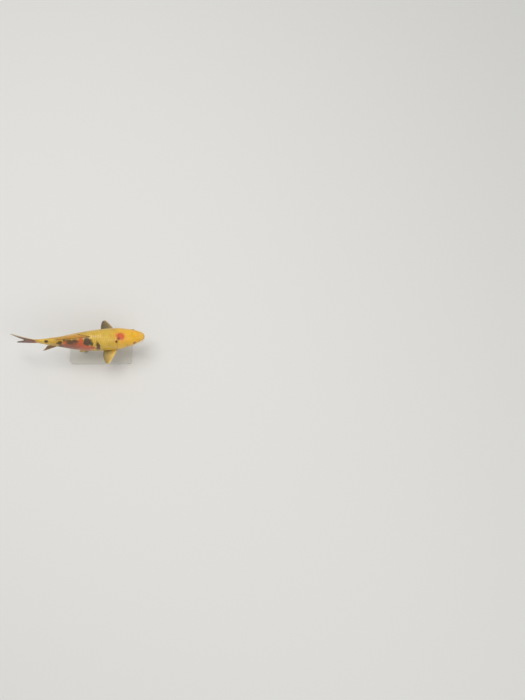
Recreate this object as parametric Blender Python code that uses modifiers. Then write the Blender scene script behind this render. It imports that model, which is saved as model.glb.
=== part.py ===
"""Koi carp: a life-size display model of one swimming fish on a plain stand.

Metres, +Z up, head towards +X, the fish's left towards +Y. The origin is the middle of
the stand's underside. The body is one loft along a bowed spine, parted by thin gaps into
head, trunk and tail stalk. Everything that grows from it is trimmed to its surface.
"""
import math

import bmesh
import bpy
import numpy as np
from mathutils import Vector

# ---- Driving dimensions, in metres -------------------------------------------------------
STANDARD_LENGTH = 0.385       # tip of the snout to the root of the tail fin
SNOUT_X = 0.172               # the snout's tip, ahead of the stand's middle
SWIM_HEIGHT = 0.130           # body axis above the floor
GAP = 0.0003                  # clearance between touching pieces
UP = Vector((0.0, 0.0, 1.0))

# Body stations, as shares of the standard length: place along the body, half width, and
# the heights of the back, of the widest level and of the belly above the body axis
BODY_STATIONS = (
    (0.000, 0.0000, -0.022, -0.022, -0.022),
    (0.010, 0.0285, 0.002, -0.023, -0.045),
    (0.040, 0.0475, 0.027, -0.021, -0.065),
    (0.080, 0.0622, 0.050, -0.018, -0.082),
    (0.120, 0.0738, 0.071, -0.015, -0.096),
    (0.180, 0.0860, 0.095, -0.011, -0.110),
    (0.260, 0.0970, 0.120, -0.007, -0.124),
    (0.350, 0.0990, 0.137, -0.002, -0.134),
    (0.450, 0.0940, 0.144, 0.000, -0.136),
    (0.560, 0.0835, 0.138, 0.000, -0.127),
    (0.680, 0.0650, 0.115, 0.000, -0.103),
    (0.800, 0.0440, 0.084, 0.000, -0.074),
    (0.900, 0.0288, 0.061, 0.000, -0.056),
    (0.960, 0.0198, 0.053, 0.000, -0.049),
    (1.000, 0.0130, 0.048, 0.000, -0.045),
)
HEAD_SQUARENESS = 2.35        # superellipse power of the sections at the snout
TRUNK_SQUARENESS = 2.15       # and from the shoulder back
SIDES = 32                    # facets round the body

# The spine bows sideways: a long bow about its slackest place, and a flick of the tail
BOW_MIDDLE, BOW, BOW_OFFSET = 0.78, 0.0435, -0.004
HEAD_STIFF = 0.26             # the skull keeps the spine straight this far back
FLICK_START, FLICK = 0.92, 0.055

# Where the lengths of the body meet, and how far the gill line leaves a flat section
GILL_LINE, TRUNK_MIDDLE, STALK_START = 0.235, 0.520, 0.780
GILL_SIDE, GILL_NAPE, GILL_THROAT = 0.024, -0.030, -0.055
GILL_SPREAD = 0.10            # the bulge has died away this far before and behind
JOINT_GAP = 0.0004

EYE_PLACE, EYE_ANGLE = 0.094, 74.0      # along the body, and round it from the back
EYE_RADIUS, EYE_PROUD = 0.0082, 0.0025

COVER_PLACE, COVER_ANGLE = 0.198, 96.0
COVER_REACH, COVER_SPREAD = 0.052, 38.0  # half its length (share) and half its height (degrees)
COVER_PROUD, COVER_DEPTH = 0.0008, 0.0016

MOUTH_REACH, MOUTH_DROOP = 0.0125, 17.0   # the corners lie this far back and turn this far down
LIP_RADIUS, UPPER_LIP_RISE, LOWER_LIP_DROP = 0.0024, 0.0021, 0.0029

# Barbels: place, angle, length, root radius, tip radius
LONG_BARBEL = (0.0175, 103.0, 0.022, 0.0013, 0.0006)
SHORT_BARBEL = (0.0130, 70.0, 0.012, 0.0010, 0.0005)

ROOT_DEPTH = 0.0035           # how far a fin starts under the skin before it is trimmed

BASE_LENGTH, BASE_WIDTH, BASE_THICKNESS = 0.230, 0.110, 0.008
BASE_CORNER, BASE_EDGE = 0.012, 0.0015
ROD_PLACES = {"front": 0.330, "rear": 0.600}
ROD_RADIUS, FLANGE_RADIUS, FLANGE_HEIGHT = 0.004, 0.011, 0.003
PAD_RADIUS, PAD_DEPTH = 0.009, 0.006


# ---- The body's surface ------------------------------------------------------------------
def spline(xs, ys):
    """The natural cubic spline through (xs, ys), as a function."""
    xs, ys = np.array(xs, float), np.array(ys, float)
    last, step = len(xs) - 1, np.diff(xs)
    rows, right = np.eye(last + 1), np.zeros(last + 1)
    for i in range(1, last):
        rows[i, i - 1 : i + 2] = step[i - 1], 2 * (step[i - 1] + step[i]), step[i]
        right[i] = 6 * ((ys[i + 1] - ys[i]) / step[i] - (ys[i] - ys[i - 1]) / step[i - 1])
    bend = np.linalg.solve(rows, right)

    def value(x):
        i = int(np.clip(np.searchsorted(xs, x) - 1, 0, last - 1))
        behind, ahead, h = x - xs[i], xs[i + 1] - x, step[i]
        curve = (bend[i] * ahead**3 + bend[i + 1] * behind**3) / (6 * h)
        line = (ys[i] / h - bend[i] * h / 6) * ahead + (ys[i + 1] / h - bend[i + 1] * h / 6) * behind
        return float(curve + line)

    return value


# The splines run over the square root of the place, which makes the snout round
STATION_ROOTS = [math.sqrt(row[0]) for row in BODY_STATIONS]
HALF_WIDTH, BACK, LEVEL, BELLY = (
    spline(STATION_ROOTS, [row[column] for row in BODY_STATIONS]) for column in (1, 2, 3, 4)
)


def section(place):
    """Half width, and heights of back, widest level and belly, at a place along the body."""
    root = math.sqrt(min(max(place, 0.0), 1.0))
    return HALF_WIDTH(root), BACK(root), LEVEL(root), BELLY(root)


def spine(place):
    """The body axis at a place, which may run on past 1 into the tail fin."""
    bent = max(place, HEAD_STIFF)
    sway = BOW * (bent - BOW_MIDDLE) * (2 * place - bent - BOW_MIDDLE) + BOW_OFFSET
    sway += FLICK * max(place - FLICK_START, 0.0) ** 2
    return Vector((SNOUT_X - place * STANDARD_LENGTH, sway, SWIM_HEIGHT))


def axes(place):
    """Unit vectors towards the tail and towards the fish's left, at a place."""
    back = (spine(place + 0.01) - spine(place - 0.01)).normalized()
    return back, back.cross(UP).normalized()


def signed_power(value, power):
    return math.copysign(abs(value) ** power, value)


def body_point(place, angle):
    """A point on the skin. The angle is in degrees from the back, positive to the left."""
    half_width, back, level, belly = section(place)
    square = TRUNK_SQUARENESS + (HEAD_SQUARENESS - TRUNK_SQUARENESS) * math.exp(-((place / 0.16) ** 2))
    turn = math.radians(angle)
    across = half_width * signed_power(math.sin(turn), 2 / square)
    rise = signed_power(math.cos(turn), 2 / square)
    height = level + rise * (back - level if rise > 0 else level - belly)
    return spine(place) + (axes(place)[1] * across + UP * height) * STANDARD_LENGTH


def body_normal(place, angle):
    """The outward normal of the skin there."""
    along = body_point(place + 0.004, angle) - body_point(place - 0.004, angle)
    round_body = body_point(place, angle + 2) - body_point(place, angle - 2)
    return along.cross(round_body).normalized() * -1


def gill_shift(angle):
    """How far the gill line stands behind its flat section, round the body."""
    turn = math.radians(angle)
    middle = GILL_NAPE if math.cos(turn) > 0 else GILL_THROAT
    return GILL_SIDE * math.sin(turn) ** 2 + middle * math.cos(turn) ** 2


def ring_place(place, angle):
    """Rings near the gill line bow with it, and fade to flat sections away from it."""
    near = max(0.0, 1 - ((place - GILL_LINE) / GILL_SPREAD) ** 2)
    return place + gill_shift(angle) * near**2


# ---- Building helpers --------------------------------------------------------------------
def collection(name, hidden=False):
    made = bpy.data.collections.new(name)
    bpy.context.scene.collection.children.link(made)
    made.hide_render = hidden
    return made


def material(name, colour, roughness, metallic=0.0):
    made = bpy.data.materials.new(name)
    made.use_nodes = True
    shader = made.node_tree.nodes["Principled BSDF"]
    shader.inputs["Base Color"].default_value = (*colour, 1)
    shader.inputs["Roughness"].default_value = roughness
    shader.inputs["Metallic"].default_value = metallic
    return made


def keep(obj, finish, smooth=True):
    """Puts a piece in the koi's collection with its material."""
    for holder in obj.users_collection:
        holder.objects.unlink(obj)
    KOI.objects.link(obj)
    obj.data.materials.append(finish)
    if smooth:
        obj.data.shade_smooth()
        obj.data.set_sharp_from_angle(angle=math.radians(40))
    return obj


def as_cutter(obj):
    for holder in obj.users_collection:
        holder.objects.unlink(obj)
    CUTTERS.objects.link(obj)
    obj.hide_render = True
    obj.display_type = "WIRE"
    return obj


def trim(obj, *cutters):
    """Takes the cutters away from a piece."""
    for cutter in cutters:
        cut = obj.modifiers.new("trim_" + cutter.name, "BOOLEAN")
        cut.operation = "DIFFERENCE"
        cut.object = cutter
    return obj


def loft(name, rings, first, last):
    """A closed skin over rings of equal count, drawn to a point at each end."""
    count = len(rings[0])
    points = [first] + [p for ring in rings for p in ring] + [last]
    faces = []
    for i in range(count):
        j = (i + 1) % count
        faces.append((0, 1 + j, 1 + i))
        end = 1 + (len(rings) - 1) * count
        faces.append((len(points) - 1, end + i, end + j))
        for row in range(len(rings) - 1):
            a, b = 1 + row * count, 1 + (row + 1) * count
            faces.append((a + i, a + j, b + j, b + i))
    mesh = bpy.data.meshes.new(name)
    mesh.from_pydata(points, [], faces)
    shell = bmesh.new()
    shell.from_mesh(mesh)
    bmesh.ops.recalc_face_normals(shell, faces=shell.faces)
    shell.to_mesh(mesh)
    shell.free()
    obj = bpy.data.objects.new(name, mesh)
    bpy.context.scene.collection.objects.link(obj)
    return obj


# ---- Body lengths ------------------------------------------------------------------------
def body_ring(place):
    turns = [360.0 * k / SIDES for k in range(SIDES)]
    return [body_point(ring_place(place, turn), turn) for turn in turns]


def ring_places(start, end, count):
    """Evenly spread places, ends included."""
    return [start + (end - start) * k / count for k in range(count + 1)]


def snout_places(end, count):
    """Places from near the snout's tip, close together at first, to keep it round."""
    return [end * (k / count) ** 2 for k in range(1, count + 1)]


def body_length(name, places):
    """One length of the body, with a shallow cap at each parted end."""
    first = spine(0) + UP * BODY_STATIONS[0][2] * STANDARD_LENGTH
    if places[0] > 0.1:
        first = spine(places[0])
    return loft(name, [body_ring(place) for place in places], first, spine(places[-1]))


def build_body():
    half_gap = JOINT_GAP / 2 / STANDARD_LENGTH
    lengths = {
        "head": snout_places(GILL_LINE - half_gap, 13),
        "trunk_front": ring_places(GILL_LINE + half_gap, TRUNK_MIDDLE - half_gap, 9),
        "trunk_rear": ring_places(TRUNK_MIDDLE + half_gap, STALK_START - half_gap, 7),
        "tail_stalk": ring_places(STALK_START + half_gap, 1.0, 6),
    }
    pieces = {name: keep(body_length(name, places), SKIN) for name, places in lengths.items()}
    whole = as_cutter(body_length("whole_body", sum(lengths.values(), [])))
    grow = whole.modifiers.new("clearance", "DISPLACE")
    grow.mid_level = 0.0
    grow.strength = GAP
    return pieces, whole


# ---- Head --------------------------------------------------------------------------------
def build_eye(side, head):
    angle = side * EYE_ANGLE
    normal = body_normal(EYE_PLACE, angle)
    centre = body_point(EYE_PLACE, angle) - normal * (EYE_RADIUS - EYE_PROUD)
    name = "eye_left" if side > 0 else "eye_right"
    for kind, radius in (("ball", EYE_RADIUS), ("socket", EYE_RADIUS + GAP)):
        bpy.ops.mesh.primitive_uv_sphere_add(segments=16, ring_count=8, radius=radius, location=centre)
        obj = bpy.context.object
        obj.rotation_mode = "QUATERNION"
        obj.rotation_quaternion = normal.to_track_quat("Z", "Y")
        if kind == "ball":
            obj.name = name
            keep(obj, EYE)
        else:
            obj.name = name + "_socket"
            trim(head, as_cutter(obj))


def cover_shell(name, side, grow):
    """A rounded plate that follows the cheek, from the middle of its outer face over its rim."""
    steps = 20
    top, bottom = COVER_PROUD + (0.004 if grow else 0), -COVER_DEPTH - grow
    rim = 1 + grow / (COVER_REACH * STANDARD_LENGTH)

    def ring(share, lift):
        points = []
        for k in range(steps):
            turn = 2 * math.pi * k / steps
            place = COVER_PLACE + COVER_REACH * share * math.cos(turn)
            angle = side * (COVER_ANGLE + COVER_SPREAD * share * math.sin(turn))
            points.append(body_point(place, angle) + body_normal(place, angle) * lift)
        return points

    rings = [ring(rim * share, top) for share in (0.35, 0.70, 0.94)]
    rings += [ring(rim, top - 0.0005), ring(rim, bottom)]
    rings += [ring(rim * share, bottom) for share in (0.70, 0.35)]
    middle = body_point(COVER_PLACE, side * COVER_ANGLE)
    outward = body_normal(COVER_PLACE, side * COVER_ANGLE)
    return loft(name, rings, middle + outward * top, middle + outward * bottom)


def build_gill_cover(side, head):
    name = "gill_cover_left" if side > 0 else "gill_cover_right"
    keep(cover_shell(name, side, 0.0), SKIN)
    trim(head, as_cutter(cover_shell(name + "_seat", side, GAP)))


def tube(name, path, radii, facets=7):
    """A tapering round tube along a path, closed to a point just past each end."""
    rings = []
    for i, (middle, radius) in enumerate(zip(path, radii)):
        ahead = path[min(i + 1, len(path) - 1)] - path[max(i - 1, 0)]
        side = ahead.cross(UP).normalized()
        over = side.cross(ahead).normalized()
        turns = [2 * math.pi * k / facets for k in range(facets)]
        rings.append([middle + (side * math.cos(a) + over * math.sin(a)) * radius for a in turns])
    first = path[0] + (path[0] - path[1]).normalized() * radii[0] * 0.5
    last = path[-1] + (path[-1] - path[-2]).normalized() * radii[-1] * 0.5
    return loft(name, rings, first, last)


def build_lip(name, rise, spare, *cutters):
    """A lip runs from one corner of the mouth over the snout's tip to the other."""
    steps = 12
    path, radii = [], []
    for k in range(steps + 1):
        across = 2 * k / steps - 1
        place = MOUTH_REACH * across**2
        turn = math.copysign(90 + MOUTH_DROOP * across**2, across)
        path.append(body_point(place, turn) + UP * rise * (1 - 0.5 * across**4))
        radii.append(LIP_RADIUS * (1 - 0.45 * across**2) + spare)
    return trim(tube(name, path, radii), *cutters)


def build_barbel(name, side, spec, whole):
    """A soft feeler that hangs back and down from the edge of the mouth."""
    place, angle, length, root, tip = spec
    steps = 5
    back, left = axes(place)
    start = body_point(place, side * angle)
    outward = body_normal(place, side * angle)
    path, radii = [], []
    for k in range(steps + 1):
        share = k / steps
        reach = outward * (0.75 * share - 0.38 * share**2 - 0.08) + back * 0.68 * share**2
        reach -= UP * (0.68 * share - 0.18 * share**2)
        path.append(start + reach * length)
        radii.append(root + (tip - root) * share)
    keep(trim(tube(name, path, radii, 6), whole), SKIN)


# ---- Fins --------------------------------------------------------------------------------
def mix(start, end, share):
    return start + (end - start) * share


def fin(name, surface, rays, rows, root, rim, ripple, *cutters):
    """A pleated sheet of rays. surface(u, v) gives the point at ray u, at v of its length,
    and the direction in which the pleats stand; root and rim are its thicknesses."""
    columns = 2 * rays
    mesh = bpy.data.meshes.new(name)
    sheet = bmesh.new()
    bmesh.ops.create_grid(sheet, x_segments=columns, y_segments=rows, size=1.0)
    shares = [((vert.co.x + 1) / 2, (vert.co.y + 1) / 2) for vert in sheet.verts]
    for vert, (u, v) in zip(sheet.verts, shares):
        point, stand = surface(u, v)
        pleat = math.cos(2 * math.pi * rays * u) * ripple * v
        vert.co = point + stand * pleat
    sheet.to_mesh(mesh)
    sheet.free()
    obj = bpy.data.objects.new(name, mesh)
    bpy.context.scene.collection.objects.link(obj)
    stout = obj.vertex_groups.new(name="stout")
    for index, (u, v) in enumerate(shares):
        stout.add([index], max(0.0, 1 - v) ** 2, "REPLACE")
    shell = obj.modifiers.new("thickness", "SOLIDIFY")
    shell.thickness = root
    shell.offset = 0.0
    shell.vertex_group = "stout"
    shell.thickness_vertex_group = rim / root
    keep(obj, FIN)
    return trim(obj, *cutters)


def dorsal_surface(u, v):
    """The dorsal fin is half folded: its rays lie back at a low slope along the spine."""
    place = mix(0.470, 0.800, u)
    length = (0.078 + 0.080 * (1 - u) ** 1.3) * (1 - 0.14 * max(0.0, 1 - u / 0.08))
    slope = math.radians(mix(32.0, 27.0, u))
    reach = length * v * math.cos(slope)
    height = body_point(place, 0).z - SWIM_HEIGHT
    rise = height - ROOT_DEPTH + v * (length * math.sin(slope) * STANDARD_LENGTH + ROOT_DEPTH)
    lean = 0.10 * v * length * math.sin(slope) * STANDARD_LENGTH
    back, left = axes(place + reach)
    return spine(place + reach) + UP * rise + left * lean, left


def tail_surface(u, v):
    """Two rounded lobes with a fork between them, half spread."""
    lobe = abs(2 * u - 1)
    length = 0.165 + 0.165 * lobe**1.5 - 0.050 * lobe**10
    slope = math.radians(mix(25.0, -24.0, u))
    start = 0.965
    height = mix(0.043, -0.040, u) + v * length * math.sin(slope) * (0.75 + 0.25 * v)
    place = start + v * length * math.cos(slope)
    back, left = axes(place)
    return spine(place) + UP * height * STANDARD_LENGTH, left


def anal_surface(u, v):
    """The anal fin trails back under the tail stalk, and swings over to the right."""
    place = mix(0.770, 0.850, u)
    length = mix(0.238, 0.078, u**0.8) * (1 - 0.10 * max(0.0, 1 - u / 0.15))
    slope = math.radians(mix(19.0, 13.0, u))
    reach = length * v * math.cos(slope)
    depth = SWIM_HEIGHT - body_point(place, 180).z - ROOT_DEPTH
    drop = depth + v * (length * math.sin(slope) * STANDARD_LENGTH + ROOT_DEPTH)
    swing = 0.25 * v * length * STANDARD_LENGTH
    back, left = axes(place + reach)
    return spine(place + reach) - UP * drop - left * swing, left


def pectoral_surface(side):
    """The pectoral fin is held out level from low behind the gill, swept back like a fan."""

    def surface(u, v):
        place, angle = mix(0.262, 0.292, u), side * mix(117.0, 121.0, u)
        sweep = math.radians(mix(27.0, 77.0, u))
        length = (0.180 - 0.090 * u**1.1 - 0.020 * max(0.0, 1 - u / 0.14)) * STANDARD_LENGTH
        back, left = axes(0.27)
        out = left * side
        bend = math.radians(8.0) * v
        ray = out * math.cos(sweep + bend) + back * math.sin(sweep + bend)
        start = body_point(place, angle) - out * ROOT_DEPTH - UP * mix(0.0006, -0.0006, u)
        rise = 0.0040 * math.sin(math.pi * u) * v - 0.006 * v * v + 0.010 * u * v
        return start + ray * (length * v + ROOT_DEPTH * v) + UP * rise, UP

    return surface


def pelvic_surface(side):
    """The pelvic fin is folded back along the belly, its leading edge hanging a little lower."""

    def surface(u, v):
        place, angle = mix(0.485, 0.515, u), side * mix(150.0, 158.0, u)
        spread = math.radians(mix(3.0, -2.0, u))
        length = (0.148 - 0.050 * u**1.3 - 0.016 * max(0.0, 1 - u / 0.15)) * STANDARD_LENGTH
        back, left = axes(0.50)
        normal = body_normal(0.50, side * 150.0)
        ray = back * math.cos(spread) + left * side * math.sin(spread) - UP * mix(0.26, 0.0, u)
        start = body_point(place, angle) - normal * ROOT_DEPTH
        lift = ROOT_DEPTH * 1.9 * min(1.0, v * 3)
        return start + ray * length * v + normal * lift, normal

    return surface


def build_fins(whole):
    fin("dorsal_fin", dorsal_surface, 12, 4, 0.0032, 0.0010, 0.0005, whole)
    fin("tail_fin", tail_surface, 13, 6, 0.0044, 0.0010, 0.0004, whole)
    fin("anal_fin", anal_surface, 6, 4, 0.0030, 0.0010, 0.0004, whole)
    for side, word in ((1, "left"), (-1, "right")):
        fin("pectoral_fin_" + word, pectoral_surface(side), 9, 5, 0.0036, 0.0010, 0.0005, whole)
        fin("pelvic_fin_" + word, pelvic_surface(side), 6, 4, 0.0030, 0.0010, 0.0004, whole)


# ---- Stand -------------------------------------------------------------------------------
def build_base():
    """A flat plate with round corners and softened edges."""
    bpy.ops.mesh.primitive_cube_add(size=1, location=(0, 0, BASE_THICKNESS / 2))
    base = bpy.context.object
    base.name = "stand_base"
    base.scale = (BASE_LENGTH, BASE_WIDTH, BASE_THICKNESS)
    bpy.ops.object.transform_apply(location=True, rotation=False, scale=True)
    corners = bmesh.new()
    corners.from_mesh(base.data)
    uprights = [e for e in corners.edges if abs(e.verts[0].co.z - e.verts[1].co.z) > BASE_THICKNESS / 2]
    bmesh.ops.bevel(corners, geom=uprights, offset=BASE_CORNER, segments=6, profile=0.5, affect="EDGES")
    corners.to_mesh(base.data)
    corners.free()
    soften = base.modifiers.new("edge", "BEVEL")
    soften.width = BASE_EDGE
    soften.segments = 2
    soften.limit_method = "ANGLE"
    soften.angle_limit = math.radians(50)
    keep(base, STAND_PAINT)


def turned(name, profile, place, finish, steps=20):
    """A turned piece: the profile's (radius, height) points, run down the outer side."""
    middle = spine(place)
    mesh = bpy.data.meshes.new(name)
    mesh.from_pydata([(r, 0, h) for r, h in profile], [(i, i + 1) for i in range(len(profile) - 1)], [])
    obj = bpy.data.objects.new(name, mesh)
    bpy.context.scene.collection.objects.link(obj)
    obj.location = (middle.x, middle.y, 0)
    screw = obj.modifiers.new("turn", "SCREW")
    screw.steps = screw.render_steps = steps
    screw.use_merge_vertices = True
    screw.merge_threshold = 0.00001
    return keep(obj, finish)


def build_rod(word, place, whole):
    """A rod with a foot flange, and the soft pad in which the belly lies."""
    pad_foot = body_point(place, 180).z - PAD_DEPTH
    foot, top = BASE_THICKNESS + GAP, pad_foot - GAP
    rod = [(0, top), (ROD_RADIUS, top), (ROD_RADIUS, foot + FLANGE_HEIGHT + 0.002)]
    rod += [(ROD_RADIUS + 0.002, foot + FLANGE_HEIGHT), (FLANGE_RADIUS - 0.001, foot + FLANGE_HEIGHT)]
    rod += [(FLANGE_RADIUS, foot + FLANGE_HEIGHT - 0.001), (FLANGE_RADIUS, foot), (0, foot)]
    turned("stand_rod_" + word, rod, place, STEEL)
    rim = pad_foot + PAD_DEPTH + 0.004
    pad = [(0, rim), (PAD_RADIUS, rim), (PAD_RADIUS, pad_foot + 0.0015)]
    pad += [(PAD_RADIUS - 0.0015, pad_foot), (0, pad_foot)]
    trim(turned("stand_pad_" + word, pad, place, RUBBER), whole)


# ---- Build -------------------------------------------------------------------------------
for old in list(bpy.data.objects):
    bpy.data.objects.remove(old)
KOI = collection("koi_carp")
CUTTERS = collection("cutters", hidden=True)
SKIN = material("koi_skin_yellow", (0.70, 0.47, 0.10), 0.35)
FIN = material("koi_fin_yellow", (0.72, 0.52, 0.20), 0.40)
EYE = material("koi_eye_dark", (0.02, 0.018, 0.015), 0.08)
STAND_PAINT = material("stand_grey_paint", (0.584, 0.558, 0.497), 0.50)
STEEL = material("stand_brushed_steel", (0.60, 0.60, 0.61), 0.30, 1.0)
RUBBER = material("stand_soft_pad", (0.03, 0.03, 0.03), 0.85)

body, whole_body = build_body()
for side, word in ((1, "left"), (-1, "right")):
    build_eye(side, body["head"])
    build_gill_cover(side, body["head"])
    build_barbel("barbel_long_" + word, side, LONG_BARBEL, whole_body)
    build_barbel("barbel_short_" + word, side, SHORT_BARBEL, whole_body)
lip_room = as_cutter(build_lip("upper_lip_room", UPPER_LIP_RISE, GAP))
keep(build_lip("upper_lip", UPPER_LIP_RISE, 0.0, whole_body), SKIN)
keep(build_lip("lower_lip", -LOWER_LIP_DROP, 0.0, whole_body, lip_room), SKIN)
build_fins(whole_body)
build_base()
for word, place in ROD_PLACES.items():
    build_rod(word, place, whole_body)
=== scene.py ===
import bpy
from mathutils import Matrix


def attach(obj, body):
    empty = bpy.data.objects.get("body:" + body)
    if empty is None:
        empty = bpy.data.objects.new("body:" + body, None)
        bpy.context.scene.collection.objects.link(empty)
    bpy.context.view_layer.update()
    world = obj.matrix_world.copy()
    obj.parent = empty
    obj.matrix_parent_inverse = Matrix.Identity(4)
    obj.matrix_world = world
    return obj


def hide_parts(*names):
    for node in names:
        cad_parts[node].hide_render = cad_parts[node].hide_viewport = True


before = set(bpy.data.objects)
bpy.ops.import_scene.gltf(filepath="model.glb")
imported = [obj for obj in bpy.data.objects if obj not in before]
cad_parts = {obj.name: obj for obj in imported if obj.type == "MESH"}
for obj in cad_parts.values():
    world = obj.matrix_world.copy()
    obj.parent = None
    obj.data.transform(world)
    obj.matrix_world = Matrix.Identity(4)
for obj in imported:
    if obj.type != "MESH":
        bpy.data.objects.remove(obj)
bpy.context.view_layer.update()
print("koi: frame loaded,", len(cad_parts), "nodes")

import math

import bpy
import numpy as np

# The fish's build, as in the solids: metres, and shares of its length from snout to tail root.
# A station is its place along the body, half width, and heights of back, widest level and belly.
body = {
    "length": 0.385,
    "snoutX": 0.172,
    "height": 0.130,
    "stations": (
        (0.000, 0.0000, -0.022, -0.022, -0.022),
        (0.010, 0.0285, 0.002, -0.023, -0.045),
        (0.040, 0.0475, 0.027, -0.021, -0.065),
        (0.080, 0.0622, 0.050, -0.018, -0.082),
        (0.120, 0.0738, 0.071, -0.015, -0.096),
        (0.180, 0.0860, 0.095, -0.011, -0.110),
        (0.260, 0.0970, 0.120, -0.007, -0.124),
        (0.350, 0.0990, 0.137, -0.002, -0.134),
        (0.450, 0.0940, 0.144, 0.000, -0.136),
        (0.560, 0.0835, 0.138, 0.000, -0.127),
        (0.680, 0.0650, 0.115, 0.000, -0.103),
        (0.800, 0.0440, 0.084, 0.000, -0.074),
        (0.900, 0.0288, 0.061, 0.000, -0.056),
        (0.960, 0.0198, 0.053, 0.000, -0.049),
        (1.000, 0.0130, 0.048, 0.000, -0.045),
    ),
    "headSquare": 2.35,         # superellipse power of the sections at the snout
    "trunkSquare": 2.15,        # and from the shoulder back
    "squareFade": 0.16,
    "bow": (0.78, 0.0435, -0.004),      # the slackest place of the bow, its strength and offset
    "headStiff": 0.26,                  # the skull keeps the spine straight this far back
    "flick": (0.92, 0.055),             # where the tail's flick starts, and its strength
    "gillLine": 0.235,
    "gillShift": (0.024, -0.030, -0.055),   # the gill line's shift at the sides, nape and throat
    "gillSpread": 0.10,
    "tailTaper": 0.034,         # the flesh closes to a thin edge this far into the tail fin
}
up = np.array([0.0, 0.0, 1.0])
milli = 0.001
bodyMillis = body["length"] / milli


def hexToLinear(colour):
    # sRGB hex to linear light: a straight foot, then a power of 2.4
    parts = [int(colour[i:i + 2], 16) / 255 for i in (1, 3, 5)]
    return tuple(p / 12.92 if p <= 0.04045 else ((p + 0.055) / 1.055) ** 2.4 for p in parts) + (1.0,)


def mix(start, end, share):
    # the value that lies this share of the way from start to end
    return start + (end - start) * share


def smoothStep(low, high, value):
    # 0 at low and 1 at high with an S curve between; low may be the larger
    share = np.clip((value - low) / (high - low), 0, 1)
    return share * share * (3 - 2 * share)


def bell(value, middle, width):
    # 1 at the middle, and down to about a third one width away
    return np.exp(-((value - middle) / width) ** 2)


def unit(vectors):
    # each vector divided by its length
    return vectors / np.maximum(np.linalg.norm(vectors, axis=-1, keepdims=True), 1e-12)


def naturalSpline(xs, ys):
    # the cubic curve through the points that has no bend at its ends: its bends solve one linear system
    xs, ys = np.array(xs, float), np.array(ys, float)
    step, inner = np.diff(xs), np.arange(1, len(xs) - 1)
    rows, right = np.eye(len(xs)), np.zeros(len(xs))
    rows[inner, inner - 1], rows[inner, inner] = step[:-1], 2 * (step[:-1] + step[1:])
    rows[inner, inner + 1] = step[1:]
    right[inner] = 6 * np.diff(np.diff(ys) / step)
    bend = np.linalg.solve(rows, right)

    def value(x):
        i = np.clip(np.searchsorted(xs, x) - 1, 0, len(step) - 1)
        behind, ahead, h = x - xs[i], xs[i + 1] - x, step[i]
        curve = (bend[i] * ahead**3 + bend[i + 1] * behind**3) / (6 * h)
        return curve + (ys[i] / h - bend[i] * h / 6) * ahead + (ys[i + 1] / h - bend[i + 1] * h / 6) * behind

    return value


# the splines run over the square root of the place, which makes the snout round
stationRoots = [math.sqrt(row[0]) for row in body["stations"]]
bodyCurves = [naturalSpline(stationRoots, column) for column in list(zip(*body["stations"]))[1:]]


def section(place):
    # half width and heights of back, widest level and belly; past the tail's root the flesh thins to an edge
    root = np.sqrt(np.clip(place, 0, 1))
    halfWidth, back, level, belly = (curve(root) for curve in bodyCurves)
    past = np.clip((place - 1) / body["tailTaper"], 0, 1)
    shrink = 1 - 0.10 * past**2
    return halfWidth * (1 - 0.98 * past**1.6), back * shrink, level, belly * shrink


def spinePoint(place):
    # the axis runs straight back and sways sideways by two parabolas, the first left along its tangent
    # at the head
    place = np.asarray(place, float)
    middle, strength, offset = body["bow"]
    flickStart, flick = body["flick"]
    bent = np.maximum(place, body["headStiff"])
    sway = strength * (bent - middle) * (2 * place - bent - middle) + offset
    sway = sway + flick * np.maximum(place - flickStart, 0) ** 2
    return np.stack([body["snoutX"] - place * body["length"], sway, np.full(place.shape, body["height"])], -1)


def bodyAxes(place):
    # unit vectors towards the tail and towards the fish's left
    back = unit(spinePoint(np.asarray(place) + 0.01) - spinePoint(np.asarray(place) - 0.01))
    return back, unit(np.cross(back, up))


def signedPower(value, power):
    # the power of the size, with the value's sign
    return np.sign(value) * np.abs(value) ** power


def bodyPoint(place, angle):
    # a superellipse section whose upper and lower halves have their own heights, set across the spine;
    # the angle is in degrees from the back, positive to the fish's left
    place, angle = np.broadcast_arrays(np.asarray(place, float), np.asarray(angle, float))
    halfWidth, back, level, belly = section(place)
    square = mix(body["trunkSquare"], body["headSquare"], np.exp(-((place / body["squareFade"]) ** 2)))
    turn = np.radians(angle)
    across = halfWidth * signedPower(np.sin(turn), 2 / square)
    rise = signedPower(np.cos(turn), 2 / square)
    height = level + rise * np.where(rise > 0, back - level, level - belly)
    left = bodyAxes(place)[1]
    return spinePoint(place) + (left * across[..., None] + up * height[..., None]) * body["length"]


def bodyNormal(place, angle):
    # outward: the cross product of short steps along and round the skin
    along = bodyPoint(place + 0.004, angle) - bodyPoint(place - 0.004, angle)
    return -unit(np.cross(along, bodyPoint(place, angle + 2) - bodyPoint(place, angle - 2)))


def gillShift(angle):
    # the gill line's shift passes from its value at the side to that at the nape or the throat
    side, nape, throat = body["gillShift"]
    turn = np.radians(angle)
    middle = np.where(np.cos(turn) > 0, nape, throat)
    return side * np.sin(turn) ** 2 + middle * np.cos(turn) ** 2


# Distance round the skin from the middle of the back, tabled over place and angle, and read both ways
tablePlaces = np.linspace(0, 1 + body["tailTaper"], 260)
tableAngles = np.linspace(0, 180, 361)
tableShares = np.linspace(0, 1, 361)
tableSteps = np.linalg.norm(np.diff(bodyPoint(tablePlaces[:, None], tableAngles[None, :]), axis=1), axis=-1)
tableArcs = np.hstack([np.zeros((len(tablePlaces), 1)), np.cumsum(tableSteps, axis=1)]) / milli
tableGirth = np.maximum(tableArcs[:, -1], 1e-6)
shareOfAngle = tableArcs / tableGirth[:, None]
angleOfShare = np.array([np.interp(tableShares, row, tableAngles) for row in shareOfAngle])


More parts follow.
